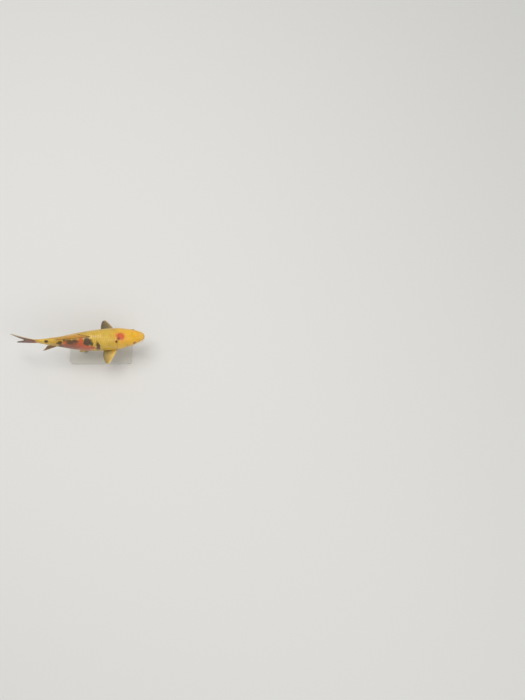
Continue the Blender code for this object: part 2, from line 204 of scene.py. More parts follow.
def readTable(table, place, column):
    # bilinear: place is along the body, column a share of the table's width
    row = np.clip(place / tablePlaces[-1], 0, 1) * (len(tablePlaces) - 1)
    column = np.clip(column, 0, 1) * (table.shape[1] - 1)
    r = np.minimum(row.astype(int), len(tablePlaces) - 2)
    c = np.minimum(column.astype(int), table.shape[1] - 2)
    near = mix(table[r, c], table[r, c + 1], column - c)
    return mix(near, mix(table[r + 1, c], table[r + 1, c + 1], column - c), row - r)


def halfGirth(place):
    # millimetres round one side, from back to belly
    return np.interp(place, tablePlaces, tableGirth)


def arcOf(place, angle):
    # millimetres round the skin from the back, positive to the left
    return np.sign(angle) * readTable(shareOfAngle, place, np.abs(angle) / 180) * halfGirth(place)


def angleOf(place, arc):
    # the other way; an arc past the belly's middle runs on up the other side
    girth, size = halfGirth(place), np.abs(arc)
    angle = readTable(angleOfShare, place, np.where(size > girth, 2 * girth - size, size) / girth)
    return np.sign(arc) * np.where(size > girth, 360 - angle, angle)


def gridNormals(points, wrap=False):
    # the cross product of the steps down the columns and along the rows
    across = np.roll(points, -1, 1) - np.roll(points, 1, 1) if wrap else np.gradient(points, axis=1)
    return unit(np.cross(np.gradient(points, axis=0), across))


def gridQuads(rows, columns, wrap=False):
    # the cells of points stored row by row; wrap joins the last column to the first
    grid = np.arange(rows * columns).reshape(rows, columns)
    grid = np.hstack([grid, grid[:, :1]]) if wrap else grid
    return np.stack([grid[:-1, :-1], grid[:-1, 1:], grid[1:, 1:], grid[1:, :-1]], -1).reshape(-1, 4)


def fanTriangles(ring, tip):
    # triangles from a closed ring of points to one tip
    return np.stack([ring, np.roll(ring, -1), np.full(len(ring), tip)], -1)


def withEnds(grid, first, last):
    # a grid's rows of three numbers, and those of the two points that close it
    return np.vstack([grid.reshape(-1, 3), [first, last]])


def closedFaces(rows, around):
    # a wrapped grid, closed at each end by a fan to one of the two points stored after it
    first, count = np.arange(around), rows * around
    fans = [fanTriangles(first[::-1], count), fanTriangles(first + count - around, count + 1)]
    return [gridQuads(rows, around, wrap=True), np.vstack(fans)]


def gridRim(rows, columns):
    # the numbers of a grid's outer points, in order round it
    grid = np.arange(rows * columns).reshape(rows, columns)
    return np.concatenate([grid[0], grid[1:, -1], grid[-1, -2::-1], grid[-2:0:-1, 0]])


def rimQuads(rim, lowRim):
    # the wall between the rims of a slab's upper and lower side
    return np.stack([np.roll(rim, -1), rim, lowRim, np.roll(lowRim, -1)], -1)


def makePiece(name, points, faceSets, material, nodes=(), marks=None, atlas=None, sharp=None):
    # numpy points and faces go straight into a mesh. The cones from the middle to its faces add up to the
    # shell's volume, which is negative where it is inside out; its faces are then turned round
    points = np.asarray(points, float).reshape(-1, 3)
    cones = 0.0
    for faces in faceSets:
        arms = points[faces] - points.mean(0)
        for k in range(1, faces.shape[1] - 1):
            cones += np.einsum("ij,ij->", arms[:, 0], np.cross(arms[:, k], arms[:, k + 1]))
    if cones < 0:
        faceSets = [faces[:, ::-1] for faces in faceSets]
    corners = np.concatenate([faces.ravel() for faces in faceSets])
    sizes = np.concatenate([np.full(len(faces), faces.shape[1]) for faces in faceSets])
    mesh = bpy.data.meshes.new(name)
    mesh.vertices.add(len(points))
    mesh.vertices.foreach_set("co", points.astype(np.float32).ravel())
    mesh.loops.add(len(corners))
    mesh.loops.foreach_set("vertex_index", corners.astype(np.int32))
    mesh.polygons.add(len(sizes))
    mesh.polygons.foreach_set("loop_start", (np.cumsum(sizes) - sizes).astype(np.int32))
    mesh.update(calc_edges=True)
    for mark, values in (marks or {}).items():
        kind, key = ("FLOAT_VECTOR", "vector") if values.ndim == 2 else ("FLOAT", "value")
        made = mesh.attributes.new(mark, kind, "POINT")
        made.data.foreach_set(key, values.astype(np.float32).ravel())
    if atlas is not None:
        made = mesh.uv_layers.new(name="OFBake")
        made.data.foreach_set("uv", atlas.astype(np.float32)[corners].ravel())
    mesh.shade_smooth()
    if sharp:
        mesh.set_sharp_from_angle(angle=math.radians(sharp))
    mesh.materials.append(material)
    piece = bpy.data.objects.new(name, mesh)
    bpy.context.scene.collection.objects.link(piece)
    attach(piece, "root")
    if nodes:
        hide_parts(*nodes)
    print("koi:", name, len(points), "points,", int((sizes - 2).sum()), "triangles")


def addNode(tree, kind, inputs=None, ramp=None, **settings):
    # kind is the node's name without ShaderNode. An input is a value, a hex colour, a socket, or a node, of
    # which the first output in use is taken. A ramp is a list of (place, hex colour)
    node = tree.nodes.new("ShaderNode" + kind)
    for name, value in settings.items():
        setattr(node, name, value)
    for key, value in (inputs or {}).items():
        if isinstance(value, bpy.types.Node):
            value = next(socket for socket in value.outputs if socket.enabled)
        if isinstance(value, bpy.types.NodeSocket):
            tree.links.new(value, node.inputs[key])
        else:
            node.inputs[key].default_value = hexToLinear(value) if isinstance(value, str) else value
    if ramp:
        stops = node.color_ramp.elements
        while len(stops) < len(ramp):
            stops.new(1.0)
        for stop, (place, colour) in zip(stops, ramp):
            stop.position, stop.color = place, hexToLinear(colour)
    return node


def newMaterial(name):
    # a material with an empty node tree
    made = bpy.data.materials.new(name)
    made.use_nodes = True
    made.node_tree.nodes.clear()
    return made, made.node_tree


def addShader(tree, inputs):
    # a Principled shader and the output; what is the same all over is a plain number on its own socket
    addNode(tree, "OutputMaterial", {"Surface": addNode(tree, "BsdfPrincipled", inputs)})


def splitAttribute(tree, name):
    # the three numbers of a vector that the mesh stores for each point
    vector = addNode(tree, "Attribute", attribute_name=name).outputs["Vector"]
    return addNode(tree, "SeparateXYZ", {0: vector}).outputs


def addGrain(tree, size, detail, strength, depth):
    # a fine noise and the dents that it makes; its scale is one over the grain's width in metres
    space = addNode(tree, "TexCoord").outputs["Object"]
    grain = addNode(tree, "TexNoise", {"Vector": space, "Scale": 1 / (size * milli), "Detail": detail})
    return grain, addNode(tree, "Bump", {"Strength": strength, "Distance": depth, "Height": grain})


# The camera stands where the koi is seen from above, over its right side
view = {"lens": 54.0, "sensor": 36.0, "at": (0.6004, -1.0233, 3.8130), "pitch": 75.014, "yaw": 0.2133}
lensData = bpy.data.cameras.new("camera")
lensData.lens, lensData.sensor_width, lensData.clip_end = view["lens"], view["sensor"], 60.0
camera = bpy.data.objects.new("camera", lensData)
camera.location = view["at"]
camera.rotation_euler = (math.radians(90 - view["pitch"]), 0, math.radians(-view["yaw"]))
bpy.context.scene.collection.objects.link(camera)
bpy.context.scene.camera = camera
bpy.context.scene.view_settings.view_transform = "Standard"

# Marks on the skin flattened out, in mm: distance from the snout, distance from the middle of the back
# (negative to the right), half length, half width, turn in degrees, softness of the rim, strength
fleshMarks = {
    "red": {
        "napeSun": (80.5, -5.5, 16.5, 16.0, 0, 0.46, 1.0),
        "napeHalo": (80, -9, 25, 24, 0, 0.50, 0.36),
        "saddleBand": (220, -22, 8.5, 32, 0, 0.22, 1.0),
        "upperFringe": (250, -19, 34, 13, 3, 0.30, 0.95),
        "frontFlank": (200, -53, 27, 15, -8, 0.20, 1.0),
        "midFlank": (216, -44, 24, 28, 0, 0.22, 1.0),
        "rearField": (262, -42, 38, 30, 4, 0.26, 0.96),
        "rearLink": (281, -18, 8, 12, 0, 0.35, 0.95),
        "bellyEnd": (212, -76, 20, 14, 0, 0.3, 0.8),
        "leftFlank": (182, 84, 30, 17, 10, 0.25, 1.0),
        "leftRear": (262, 70, 22, 12, -8, 0.25, 0.8),
    },
    "smokeAndShade": {
        "rearVeil": (264, -44, 34, 27, 0, 0.50, 0.56),
        "rearStripe": (298, -40, 10, 27, 0, 0.50, 0.90),
        "rearHigh": (250, -22, 20, 12, 0, 0.50, 0.62),
        "saddleHigh": (200, -12, 13, 8, 0, 0.50, 0.40),
        "streakTail": (167, -68, 8, 18, 0, 0.50, 0.50),
        # painted shade: this mark darkens the low flank of the tail stalk as if the light from above left it
        # in shadow; the other smoky marks are the skin's own
        "stalkPaintedShade": (326, -38, 20, 16, 0, 0.50, 0.28),
        "leftVeil": (262, 66, 24, 16, 0, 0.50, 0.35),
    },
    "brown": {
        "napeDot": (96.5, -25, 4.0, 6.0, 20, 0.40, 0.95),
        "flankStreak": (162, -43, 6.2, 20, -4, 0.26, 0.95),
        "streakFoot": (165, -56, 8.0, 10, 0, 0.35, 0.85),
        "rearBar": (301, -14, 12, 6.5, -12, 0.30, 0.95),
        "stalkSpot": (350.5, -6, 7.6, 6.8, 0, 0.25, 1.0),
        "leftStalk": (322, 34, 6, 4, 0, 0.3, 0.9),
    },
    "black": {
        "napeShade": (88, -14, 4.5, 4.0, 0, 0.60, 0.70),
        "saddleFront": (197.5, -20, 15, 16.5, 0, 0.22, 1.0),
        "saddleCorner": (185.5, -28, 7.5, 10.5, 0, 0.30, 0.95),
        "saddleRear": (243, -11, 13, 6.5, 8, 0.35, 0.92),
        "saddleEnd": (262, -15, 13, 9.5, -6, 0.35, 0.92),
        "rearTop": (272, -8, 9, 4, 0, 0.40, 0.8),
        "rearDot": (283, -5.5, 5.5, 3.6, 0, 0.35, 0.85),
        "leftShoulder": (140, 78, 8, 10, 10, 0.25, 1.0),
        "leftMiddle": (214, 92, 13, 9, 0, 0.2, 1.0),
    },
}
fleshTones = {
    "along": [(0.0, "#ecb951"), (0.06, "#f1b634"), (0.20, "#e8b53c"), (0.33, "#deba4b"), (0.55, "#d6b24a"),
              (0.82, "#d4ad45"), (0.93, "#e2ba44"), (1.0, "#e4ba42")],
    "tailRoot": "#a4683e",
    "belly": "#f2dcae",
    "cloud": [(0.30, "#e9e3d8"), (0.55, "#ffffff"), (0.75, "#fff4dc")],
    "red": [(0.0, "#ecae44"), (0.35, "#e79a42"), (0.75, "#d9743b"), (1.0, "#cf6238")],
    "redLow": "#b86048",
    "smokeAndShade": "#684a3e",
    "brown": "#583b12",
    "black": "#5b4933",
    "cloudSize": 18.18,         # mm
    "wander": (8.333, 7.0),     # mm: the rims of the marks sway in waves so long and so wide
}


def addFlesh(tree):
    # yellow ground, paler below and brown at the tail's root, with noise for clouds; then the red, smoky,
    # brown and black marks, whose rims are broken by noise. One of the smoky marks is painted shade, low on
    # the tail stalk
    share = splitAttribute(tree, "bodyShare")
    colour = addNode(tree, "ValToRGB", {0: share["X"]}, ramp=fleshTones["along"])
    under = addNode(tree, "MapRange", {"Value": share["Y"], "From Min": 0.60, "From Max": 0.92,
                    "To Max": 0.9}, interpolation_type="SMOOTHSTEP")
    end = addNode(tree, "MapRange", {"Value": share["X"], "From Min": 1.0, "From Max": 1.032},
                  interpolation_type="SMOOTHSTEP")
    for part, tone in ((under, "belly"), (end, "tailRoot")):
        colour = addNode(tree, "Mix", {0: part, 6: colour, 7: fleshTones[tone]}, data_type="RGBA")
    space = addNode(tree, "TexCoord").outputs["Object"]
    waves, sway = fleshTones["wander"]
    cloud, wander = (addNode(tree, "TexNoise", {"Vector": space, "Scale": 1 / (size * milli), "Detail": 3.0,
                     "Roughness": 0.6}) for size in (fleshTones["cloudSize"], waves))
    clouds = addNode(tree, "ValToRGB", {0: cloud}, ramp=fleshTones["cloud"])
    colour = addNode(tree, "Mix", {0: 0.8, 6: colour, 7: clouds}, data_type="RGBA", blend_type="MULTIPLY")
    centred = addNode(tree, "VectorMath", {0: wander.outputs["Color"], 1: (0.5, 0.5, 0.5)},
                      operation="SUBTRACT")
    place = addNode(tree, "Attribute", attribute_name="bodyPlace").outputs["Vector"]
    moved = addNode(tree, "VectorMath", {0: centred, 1: (sway, sway, 0), 2: place}, operation="MULTIPLY_ADD")
    low = addNode(tree, "MapRange", {"Value": share["Y"], "From Min": 0.18, "From Max": 0.55, "To Max": 0.85})
    for name, marks in fleshMarks.items():
        mask = None
        for x, y, halfLength, halfWidth, turn, soft, strength in marks.values():
            local = addNode(tree, "Mapping", {"Vector": moved, "Location": (x, y, 0),
                            "Rotation": (0, 0, math.radians(turn)), "Scale": (halfLength, halfWidth, 1)},
                            vector_type="TEXTURE")
            reach = addNode(tree, "VectorMath", {0: local}, operation="LENGTH")
            spot = addNode(tree, "MapRange", {"Value": reach, "From Min": 1 + soft, "From Max": 1 - soft,
                           "To Max": strength}, interpolation_type="SMOOTHSTEP")
            mask = addNode(tree, "Math", {0: mask, 1: spot}, operation="MAXIMUM") if mask else spot
        tone = fleshTones[name]
        if name == "red":
            tone = addNode(tree, "ValToRGB", {0: mask}, ramp=tone)
            tone = addNode(tree, "Mix", {0: low, 6: tone, 7: fleshTones["redLow"]}, data_type="RGBA")
        colour = addNode(tree, "Mix", {0: mask, 6: colour, 7: tone}, data_type="RGBA")
    return colour


# Wet fish skin: a smooth film of slime over matt flesh, which gives a soft gleam on top of the colour
skinFinish, tree = newMaterial("wetFishSkin")
colour, heads = addFlesh(tree), splitAttribute(tree, "headMarks")
# X is painted shade in the slits, grooves, mouth gap and nostrils; Y is the lips' tone; Z the eye rings' tone
for key, tone in (("X", "#7c5a2a"), ("Y", "#d99f50"), ("Z", "#a5802f")):    # slits, lips, eyes' rings
    colour = addNode(tree, "Mix", {0: heads[key], 6: colour, 7: tone}, data_type="RGBA")
pores, dimples = addGrain(tree, 1.111, 2.0, 0.25, 0.0002)       # real pores are finer and wouldn't show
gleam = addNode(tree, "MapRange", {"Value": pores, "To Min": 0.30, "To Max": 0.42})
addShader(tree, {"Base Color": colour, "Roughness": gleam, "Normal": dimples, "IOR": 1.38,
                 "Specular IOR Level": 0.45, "Coat Weight": 0.15, "Coat Roughness": 0.16})

# Fish scales: thin horny plates, pearly and wet. Their net of tones is partly their own pattern and partly
# painted shade, darker where they come out from under the next one
scaleFinish, tree = newMaterial("pearlyFishScale")
face = splitAttribute(tree, "scaleFace")
# partly the scales' own net of tones, partly painted shade: each root, where it comes out from under the next
# scale, is darkened
scaleNetAndShade = addNode(tree, "ValToRGB", {0: face["Y"]}, ramp=[(0.30, "#cdb88c"), (0.55, "#ece2ca"),
              (0.80, "#ffffff"), (0.94, "#fffaf0"), (1.0, "#dccba2")])
colour = addNode(tree, "Mix", {0: 0.75, 6: addFlesh(tree), 7: scaleNetAndShade}, data_type="RGBA", blend_type="MULTIPLY")
# the lateral line: a short dark tube down the middle of each scale of the middle row
aside = addNode(tree, "Math", {0: face["X"]}, operation="ABSOLUTE")
tube = addNode(tree, "MapRange", {"Value": aside, "From Min": 0.15, "From Max": 0.03},
               interpolation_type="SMOOTHSTEP")
stretch = addNode(tree, "MapRange", {"Value": face["Y"], "From Min": 0.80, "From Max": 0.66, "To Max": 0.55},
                  interpolation_type="SMOOTHSTEP")
for part in (stretch, face["Z"]):
    tube = addNode(tree, "Math", {0: tube, 1: part}, operation="MULTIPLY")
colour = addNode(tree, "Mix", {0: tube, 6: colour, 7: "#b8a078"}, data_type="RGBA", blend_type="MULTIPLY")
tone = addNode(tree, "Attribute", attribute_name="scaleTone").outputs["Fac"]
value = addNode(tree, "MapRange", {"Value": tone, "To Min": 0.94, "To Max": 1.06})
colour = addNode(tree, "HueSaturation", {"Value": value, "Color": colour})
growth = addGrain(tree, 1.429, 2.0, 0.2, 0.0002)[1]             # real growth lines are finer, as above
addShader(tree, {"Base Color": colour, "Normal": growth, "Roughness": 0.36, "IOR": 1.45,
                 "Specular IOR Level": 0.5, "Coat Weight": 0.14, "Coat Roughness": 0.16})
print("koi: skin and scale finishes ready")

# The whole body's skin. Millimetres unless said: the relief is added along the outward normal
skin = {
    "columns": 230,
    "sideCrowding": 0.45,       # columns stand closer on the cheeks and flanks
    "snoutRows": 24, "headRows": 172, "trunkRows": 170, "tailRows": 9,
    "snoutEnd": 0.010, "headEnd": 0.285,        # places
    "coatDepth": 0.62,          # the scales' depth, left free behind the gills
    "eye": {"place": 0.094, "angle": 74.0, "radius": 8.2, "proud": 2.5},
    "nostrils": ((0.050, 47.0, 1.15), (0.0595, 50.0, 1.5)),     # front and rear: place, angle, radius
    "nostrilFlap": (0.0548, 48.6),
    "mouth": {"height": -8.5, "droop": 0.0270, "corner": 12.0},
}


def eyePlace(side):
    # the eyeball's middle, its radius less what stands proud under the skin; the point of skin over it; and
    # the way it looks
    spec = skin["eye"]
    surface = bodyPoint(spec["place"], side * spec["angle"])
    outward = bodyNormal(spec["place"], side * spec["angle"])
    return surface - outward * (spec["radius"] - spec["proud"]) * milli, surface, outward


def aroundEye(points, side):
    # the way and the distance in mm from the eye's axis, and whether a point is on the eye's side at all
    surface, outward = eyePlace(side)[1:]
    away = points - surface
    off = away - outward * (away @ outward)[..., None]
    return unit(off), np.linalg.norm(off, axis=-1) / milli, away @ outward > -0.012


def seatEyes(points):
    # skin near an eye slides along the surface onto two circles, so that the lid's rim is round
    for side in (1, -1):
        way, reach, near = aroundEye(points, side)
        ring = np.where(reach < 5.75, 5.45, 6.10)
        close = near & (reach > 5.0) & (reach < 6.6)
        points = points + way * (np.where(close, ring - reach, 0) * milli)[..., None]
    return points


def mouthRelief(points, place):
    # two rolls of lip with a gap between them and a groove beyond each, along a line that droops with the
    # square of the distance from the middle; also the share of painted shade in the gap and that of the lips'
    # colour
    corner, droop = skin["mouth"]["corner"], skin["mouth"]["droop"]
    offset = (points - spinePoint(place)) / milli
    across = np.abs(np.sum(offset * bodyAxes(place)[1], -1))
    height = offset[..., 2] - skin["mouth"]["height"] + droop * across**2
    front = smoothStep(13, 7, place * bodyMillis)
    lip = front * smoothStep(corner + 1.5, corner - 4.5, across)
    full = 1 - 0.45 * np.minimum(across / corner, 1) ** 2
    gap = front * smoothStep(corner + 1.0, corner - 1.5, across) * bell(height, -0.1, 0.55)
    relief = lip * full * (1.70 * bell(height, 2.1, 1.35) + 1.75 * bell(height, -2.3, 1.35))
    relief -= lip * (0.7 * bell(height, 5.4, 0.9) + 0.55 * bell(height, -5.6, 0.9))
    relief -= 1.5 * gap + 0.6 * front * bell(across, corner + 0.8, 1.0) * bell(height, 1.0, 3.2)
    return relief, gap, lip * smoothStep(5.2, 3.0, np.abs(height + 0.1))


def skinRelief(points, place, angle, gill):
    # a sum of bells and steps for the head's bones, folds and holes; gill is the distance behind the gill
    # line. Also the shares of painted shade in the slits, grooves, mouth gap and nostrils, and of the colours
    # of lips and eye rings
    turned, ahead = np.abs(angle), gill < 0.35
    flank = smoothStep(36, 58, turned)
    relief = -skin["coatDepth"] * smoothStep(-2.0, 4.0, gill)
    relief += flank * ahead * (0.75 * smoothStep(-17, -3, gill) - 0.30 * bell(gill, -1.0, 1.6))  # cover's rim
    relief -= flank * ~ahead * 0.75 * np.exp(-np.maximum(gill - 0.35, 0) / 2.2)     # the slit behind it
    cheek = smoothStep(58, 72, turned) * smoothStep(150, 132, turned)
    arch = gill + 0.0030 * (turned - 98) ** 2                           # the fore edge of the cover bows
    relief -= 0.80 * cheek * bell(arch, -27.0, 1.5)                     # the groove ahead of the cover
    relief += 0.45 * cheek * bell(arch, -31.0, 3.2)                     # the bone ahead of that
    relief += 0.60 * cheek * smoothStep(-26, -20, arch) * smoothStep(-2, -9, gill)      # the cover's swell
    relief -= 0.22 * cheek * bell(turned, 96, 3.2) * bell(arch, -37, 5)         # a dent under the eye
    plate = smoothStep(-25, -22, arch) * smoothStep(-1, -4, gill)
    seam = plate * bell(turned, 123 + gill * 0.30, 1.8)                 # between the cover and the one below
    relief -= 0.50 * seam
    relief -= 0.10 * plate * np.sin((turned - 90 - gill * 0.9) * 0.55) * bell(gill, -12, 7)     # growth lines
    throat = smoothStep(150, 158, turned) * smoothStep(-50, -40, gill) * ahead
    relief -= 0.45 * throat * bell(turned, 168, 2.2)                    # the fold under the throat
    relief += 0.9 * bell(place, 0.155, 0.05) * bell(turned, 32, 20)     # the skull's shoulders
    relief -= 0.7 * bell(place, 0.135, 0.03) * bell(turned, 56, 9)      # the temples
    relief -= 0.35 * bell(place, 0.03, 0.012) * bell(angle, 0, 35)      # behind the upper lip
    eyeRing, nostrilShade = np.zeros(place.shape), np.zeros(place.shape)
    for side in (1, -1):
        way, reach, near = aroundEye(points, side)
        relief += near * (0.60 * bell(reach, 7.5, 1.25) - 0.30 * bell(reach, 10.4, 1.1))        # the rim
        relief += near * 0.45 * bell(reach, 8.6, 2.2) * smoothStep(-0.2, 0.8, way @ up)         # the brow
        relief = mix(relief, -3.4, near * smoothStep(6.05, 5.50, reach))                        # the socket
        eyeRing = np.maximum(eyeRing, near * smoothStep(7.0, 6.0, reach))
        for where, turn, radius in skin["nostrils"]:
            reach = np.linalg.norm(points - bodyPoint(where, side * turn), axis=-1) / milli
            relief += 0.45 * bell(reach, radius + 0.7, 0.7)                     # a nostril's rim and hole
            relief -= 1.3 * smoothStep(radius + 0.3, radius - 0.6, reach)
            # painted shade in the nostril's hole
            nostrilShade = np.maximum(nostrilShade, 0.7 * smoothStep(radius + 0.1, radius - 0.7, reach))
        where, turn = skin["nostrilFlap"]
        relief += 0.75 * bell(np.linalg.norm(points - bodyPoint(where, side * turn), axis=-1) / milli, 0, 1.0)
    mouth, gap, lips = mouthRelief(points, place)
    # painted shade: a darker tone in the gill slit, the groove ahead of the cover and the seam below it,
    # joined by that in the mouth's gap and the nostrils
    recessShade = [0.8 * flank * bell(gill, 0.9, 0.9), 0.32 * cheek * bell(arch, -27.0, 1.6) + 0.22 * seam]
    recessShade = np.max(recessShade + [gap, nostrilShade], axis=0)
    return relief + mouth, np.stack([recessShade, 0.7 * lips, 0.8 * eyeRing], -1)


def buildSkin():
    # rings round the spine, crowded at the head. Near the gills they bow by the gill line's shift times
    # (1 - d^2)^2, where d is the distance from that line over its spread
    rows = np.concatenate([
        np.linspace(0, math.sqrt(skin["snoutEnd"]), skin["snoutRows"] + 1)[1:] ** 2,
        np.linspace(skin["snoutEnd"], skin["headEnd"], skin["headRows"])[1:],
        np.linspace(skin["headEnd"], 1.0, skin["trunkRows"])[1:],
        1 + body["tailTaper"] * np.linspace(0, 1, skin["tailRows"])[1:],
    ])
    turn = np.linspace(-1, 1, skin["columns"] + 1)[:-1]
    angles = 180 * (turn + skin["sideCrowding"] * np.sin(2 * math.pi * turn) / (2 * math.pi))
    row, angle = np.broadcast_arrays(rows[:, None], angles)
    near = np.maximum(0, 1 - ((row - body["gillLine"]) / body["gillSpread"]) ** 2)
    place = row + gillShift(angle) * near**2
    points = seatEyes(bodyPoint(place, angle))
    relief, heads = skinRelief(points, place, angle, (row - body["gillLine"]) * bodyMillis)
    points = points - gridNormals(points, wrap=True) * (relief * milli)[..., None]
    snout = spinePoint(0.0) + up * body["stations"][0][2] * body["length"] + [0.0002, 0, 0]
    arc, zeros, tail = arcOf(place, angle), np.zeros(place.shape), place[-1].mean()
    flat = np.stack([place * bodyMillis, arc, zeros], -1)
    shares = np.stack([place, np.abs(arc) / halfGirth(place), zeros], -1)
    marks = {
        "bodyPlace": withEnds(flat, (0, 0, 0), (tail * bodyMillis, 0, 0)),
        "bodyShare": withEnds(shares, (0, 0.5, 0), (tail, 0.5, 0)),
        "headMarks": withEnds(heads, (0, 0, 0), (0, 0, 0)),
    }
    nodes = ("head", "gill_cover_left", "gill_cover_right", "upper_lip", "lower_lip",
             "trunk_front", "trunk_rear", "tail_stalk")
    makePiece("koiSkin", withEnds(points, snout, points[-1].mean(0)), closedFaces(*place.shape), skinFinish,
              nodes, marks)


buildSkin()

# Scales in rows along the body, each row half a pitch out of step with the next. Millimetres
scales = {
    "alongPitch": (8.4, 6.0),       # at the shoulder and at the tail
    "rowPitch": (10.6, 7.2),
    "lateralShare": (0.43, 0.50),   # the lateral line's share of the way from back to belly
    "lengths": 1.62,                # a scale's length in pitches: the rest lies under the one ahead
    "widths": 0.97,                 # its half width in row pitches
    "rootWidth": 0.80,              # and the share of that at its root
    "uneven": ((0.97, 1.04), (0.97, 1.03), (-0.04, 0.05)),      # spreads of length, width and height
    "roundness": 0.50,              # how far its free edge falls away at the sides, as a share of its length
    "root": -0.95, "edge": 0.10,    # depth of its root, under the skin, and height of its free edge
    "curve": 0.08,                  # its sides lie lower than its middle
    "thickness": 0.20,
    "firstPlace": 0.14, "lastPlace": 0.992,
    "firstGap": -6.5,               # the first ones come out from under the gill cover
    "room": 0.42,                   # row pitches that the side rows keep off the middle ones
    "ownMark": (0.12, 0.42), "middle": 0.72,    # the share of a scale's marking that its middle gives
    "dorsal": (0.462, 0.800),       # no middle row where the dorsal fin stands
    "sideRows": 9,                  # rows above and below the lateral line's, where there is room
    "backRow": 50, "bellyRow": 60,  # the middle rows' numbers, which no side row has
    "across": 7, "along": (0, 0.42, 0.76, 1.0), "seed": 5,
}


def alongPitch(place):
    # passes with an S curve from its value at the shoulder to that at the tail
    return mix(*scales["alongPitch"], smoothStep(0.25, 1.0, place))


def rowPitch(place):
    # the same for the rows
    return mix(*scales["rowPitch"], smoothStep(0.30, 0.97, place))


def rowArc(place, row, side):
    # a row lies its number of row pitches from the lateral line; the back's and the belly's lie in the middle
    lateral = mix(*scales["lateralShare"], smoothStep(0.25, 0.8, place)) * halfGirth(place)
    arc = side * (lateral + row * rowPitch(place))
    arc = np.where(row == scales["bellyRow"], halfGirth(place), arc)
    return np.where(row == scales["backRow"], 0.0, arc)


def layScales():
    # row, place, side and distance behind the gill line of each scale. Places are read from a running sum
    # of length over pitch, which counts the scales from the first on
    fine = np.linspace(scales["firstPlace"], 1.0, 500)
    count = np.append(0, np.cumsum(np.diff(fine) * bodyMillis / alongPitch(fine)[1:]))
    steps, sideRows = np.arange(int(count[-1]) + 1), np.arange(-scales["sideRows"], scales["sideRows"] + 1)
    rows, step, sides = (grid.ravel() for grid in np.meshgrid(sideRows, steps, (1, -1), indexing="ij"))
    places = np.interp(step + 0.5 * (rows % 2), count, fine)
    arcs, room = rowArc(places, rows, 1), scales["room"] * rowPitch(places)
    kept = (arcs > room) & (arcs < halfGirth(places) - room)
    bellies = np.interp(steps + 0.25, count, fine)
    backs = bellies[(bellies < scales["dorsal"][0]) | (bellies > scales["dorsal"][1])]
    middles = np.repeat([scales["backRow"], scales["bellyRow"]], [len(backs), len(bellies)])
    rows, sides = np.append(rows[kept], middles), np.append(sides[kept], np.ones(len(middles), int))
    places = np.concatenate([places[kept], backs, bellies])
    gills = places - body["gillLine"] - gillShift(angleOf(places, rowArc(places, rows, sides)))
    kept = (gills * bodyMillis > scales["firstGap"]) & (places < scales["lastPlace"])
    return rows[kept], places[kept], sides[kept], gills[kept] * bodyMillis


def buildScales():
    # each scale is a grid of shares across and along, laid on the skin by distance along the body and round
    # it; its top rises from root to free edge, and a rim and a fan close it underneath
    random = np.random.default_rng(scales["seed"])
    rows, places, sides, gills = (values[:, None, None] for values in layScales())
    across, along = np.linspace(-1, 1, scales["across"]), np.array(scales["along"])[:, None]
    shape = (len(places), len(along), len(across))
    longer, wider, higher = scales["uneven"]
    sizes = alongPitch(places) * scales["lengths"] * random.uniform(*longer, places.shape)
    widths = rowPitch(places) * scales["widths"] * random.uniform(*wider, places.shape)
    reach = along * (1 - scales["roundness"] * np.abs(across) ** 2.1)
    place = places + sizes * reach / bodyMillis
    arc = rowArc(place, rows, sides) + across * widths * mix(scales["rootWidth"], 1, along)
    angle = angleOf(place, arc)
    lift = mix(scales["root"], scales["edge"], reach**0.9) - scales["curve"] * across**2
    lift = lift + random.uniform(*higher, places.shape) * along
    normals = bodyNormal(place, angle)
    top = bodyPoint(place, angle) + normals * (lift * milli)[..., None]
    rim = gridRim(*shape[1:])
    lowRim = len(along) * len(across) + np.arange(len(rim))
    stride = lowRim[-1] + 2
    starts = (np.arange(len(places)) * stride)[:, None, None]
    quads = np.vstack([gridQuads(*shape[1:]), rimQuads(rim, lowRim)])
    fan = fanTriangles(lowRim[::-1], stride - 1)
    faces = [(part + starts).reshape(-1, part.shape[1]) for part in (quads, fan)]

    def closeUnder(upper, lower):
        # rows for the top's points, for the rim of the underside and for its middle
        upper, lower = (grid.reshape(len(places), lowRim[0], -1) for grid in (upper, lower))
        return np.concatenate([upper, lower[:, rim], lower[:, rim].mean(1, keepdims=True)], 1)

    def marking(*numbers):
        grid = np.stack([np.broadcast_to(number, shape) for number in numbers], -1)
        return closeUnder(grid, grid).reshape(-1, len(numbers))

    # a scale takes part of its marking from its own middle, so that rims of marks step from scale to scale
    middle = places + sizes * scales["middle"] / bodyMillis
    own = mix(*scales["ownMark"], smoothStep(0, 25, gills))
    belly = rows == scales["bellyRow"]
    arc = np.where(belly & (angle > 180), arc - 2 * halfGirth(place), arc)
    flatArc = mix(arc, rowArc(middle, rows, sides), np.where(belly, 0, own))
    girthShare = rowArc(places, rows, sides) / (2 * halfGirth(places)) + 0.5
    marks = {
        "bodyPlace": marking(mix(place, middle, own) * bodyMillis, flatArc, 0),
        "bodyShare": marking(place, np.clip(np.abs(arc) / halfGirth(place), 0, 1), 0),
        "scaleFace": marking(across, along, rows == 0),
        "scaleTone": marking(random.random(places.shape)).ravel(),
    }
    atlas = marking(places * 0.95 + 0.003 * (along - 0.5), girthShare * 0.99 + 0.0015 * across)
    points = closeUnder(top, top - normals * scales["thickness"] * milli)
    makePiece("koiScales", points, faces, scaleFinish, (), marks, atlas, sharp=50)
    print("koi:", len(places), "scales")


buildScales()

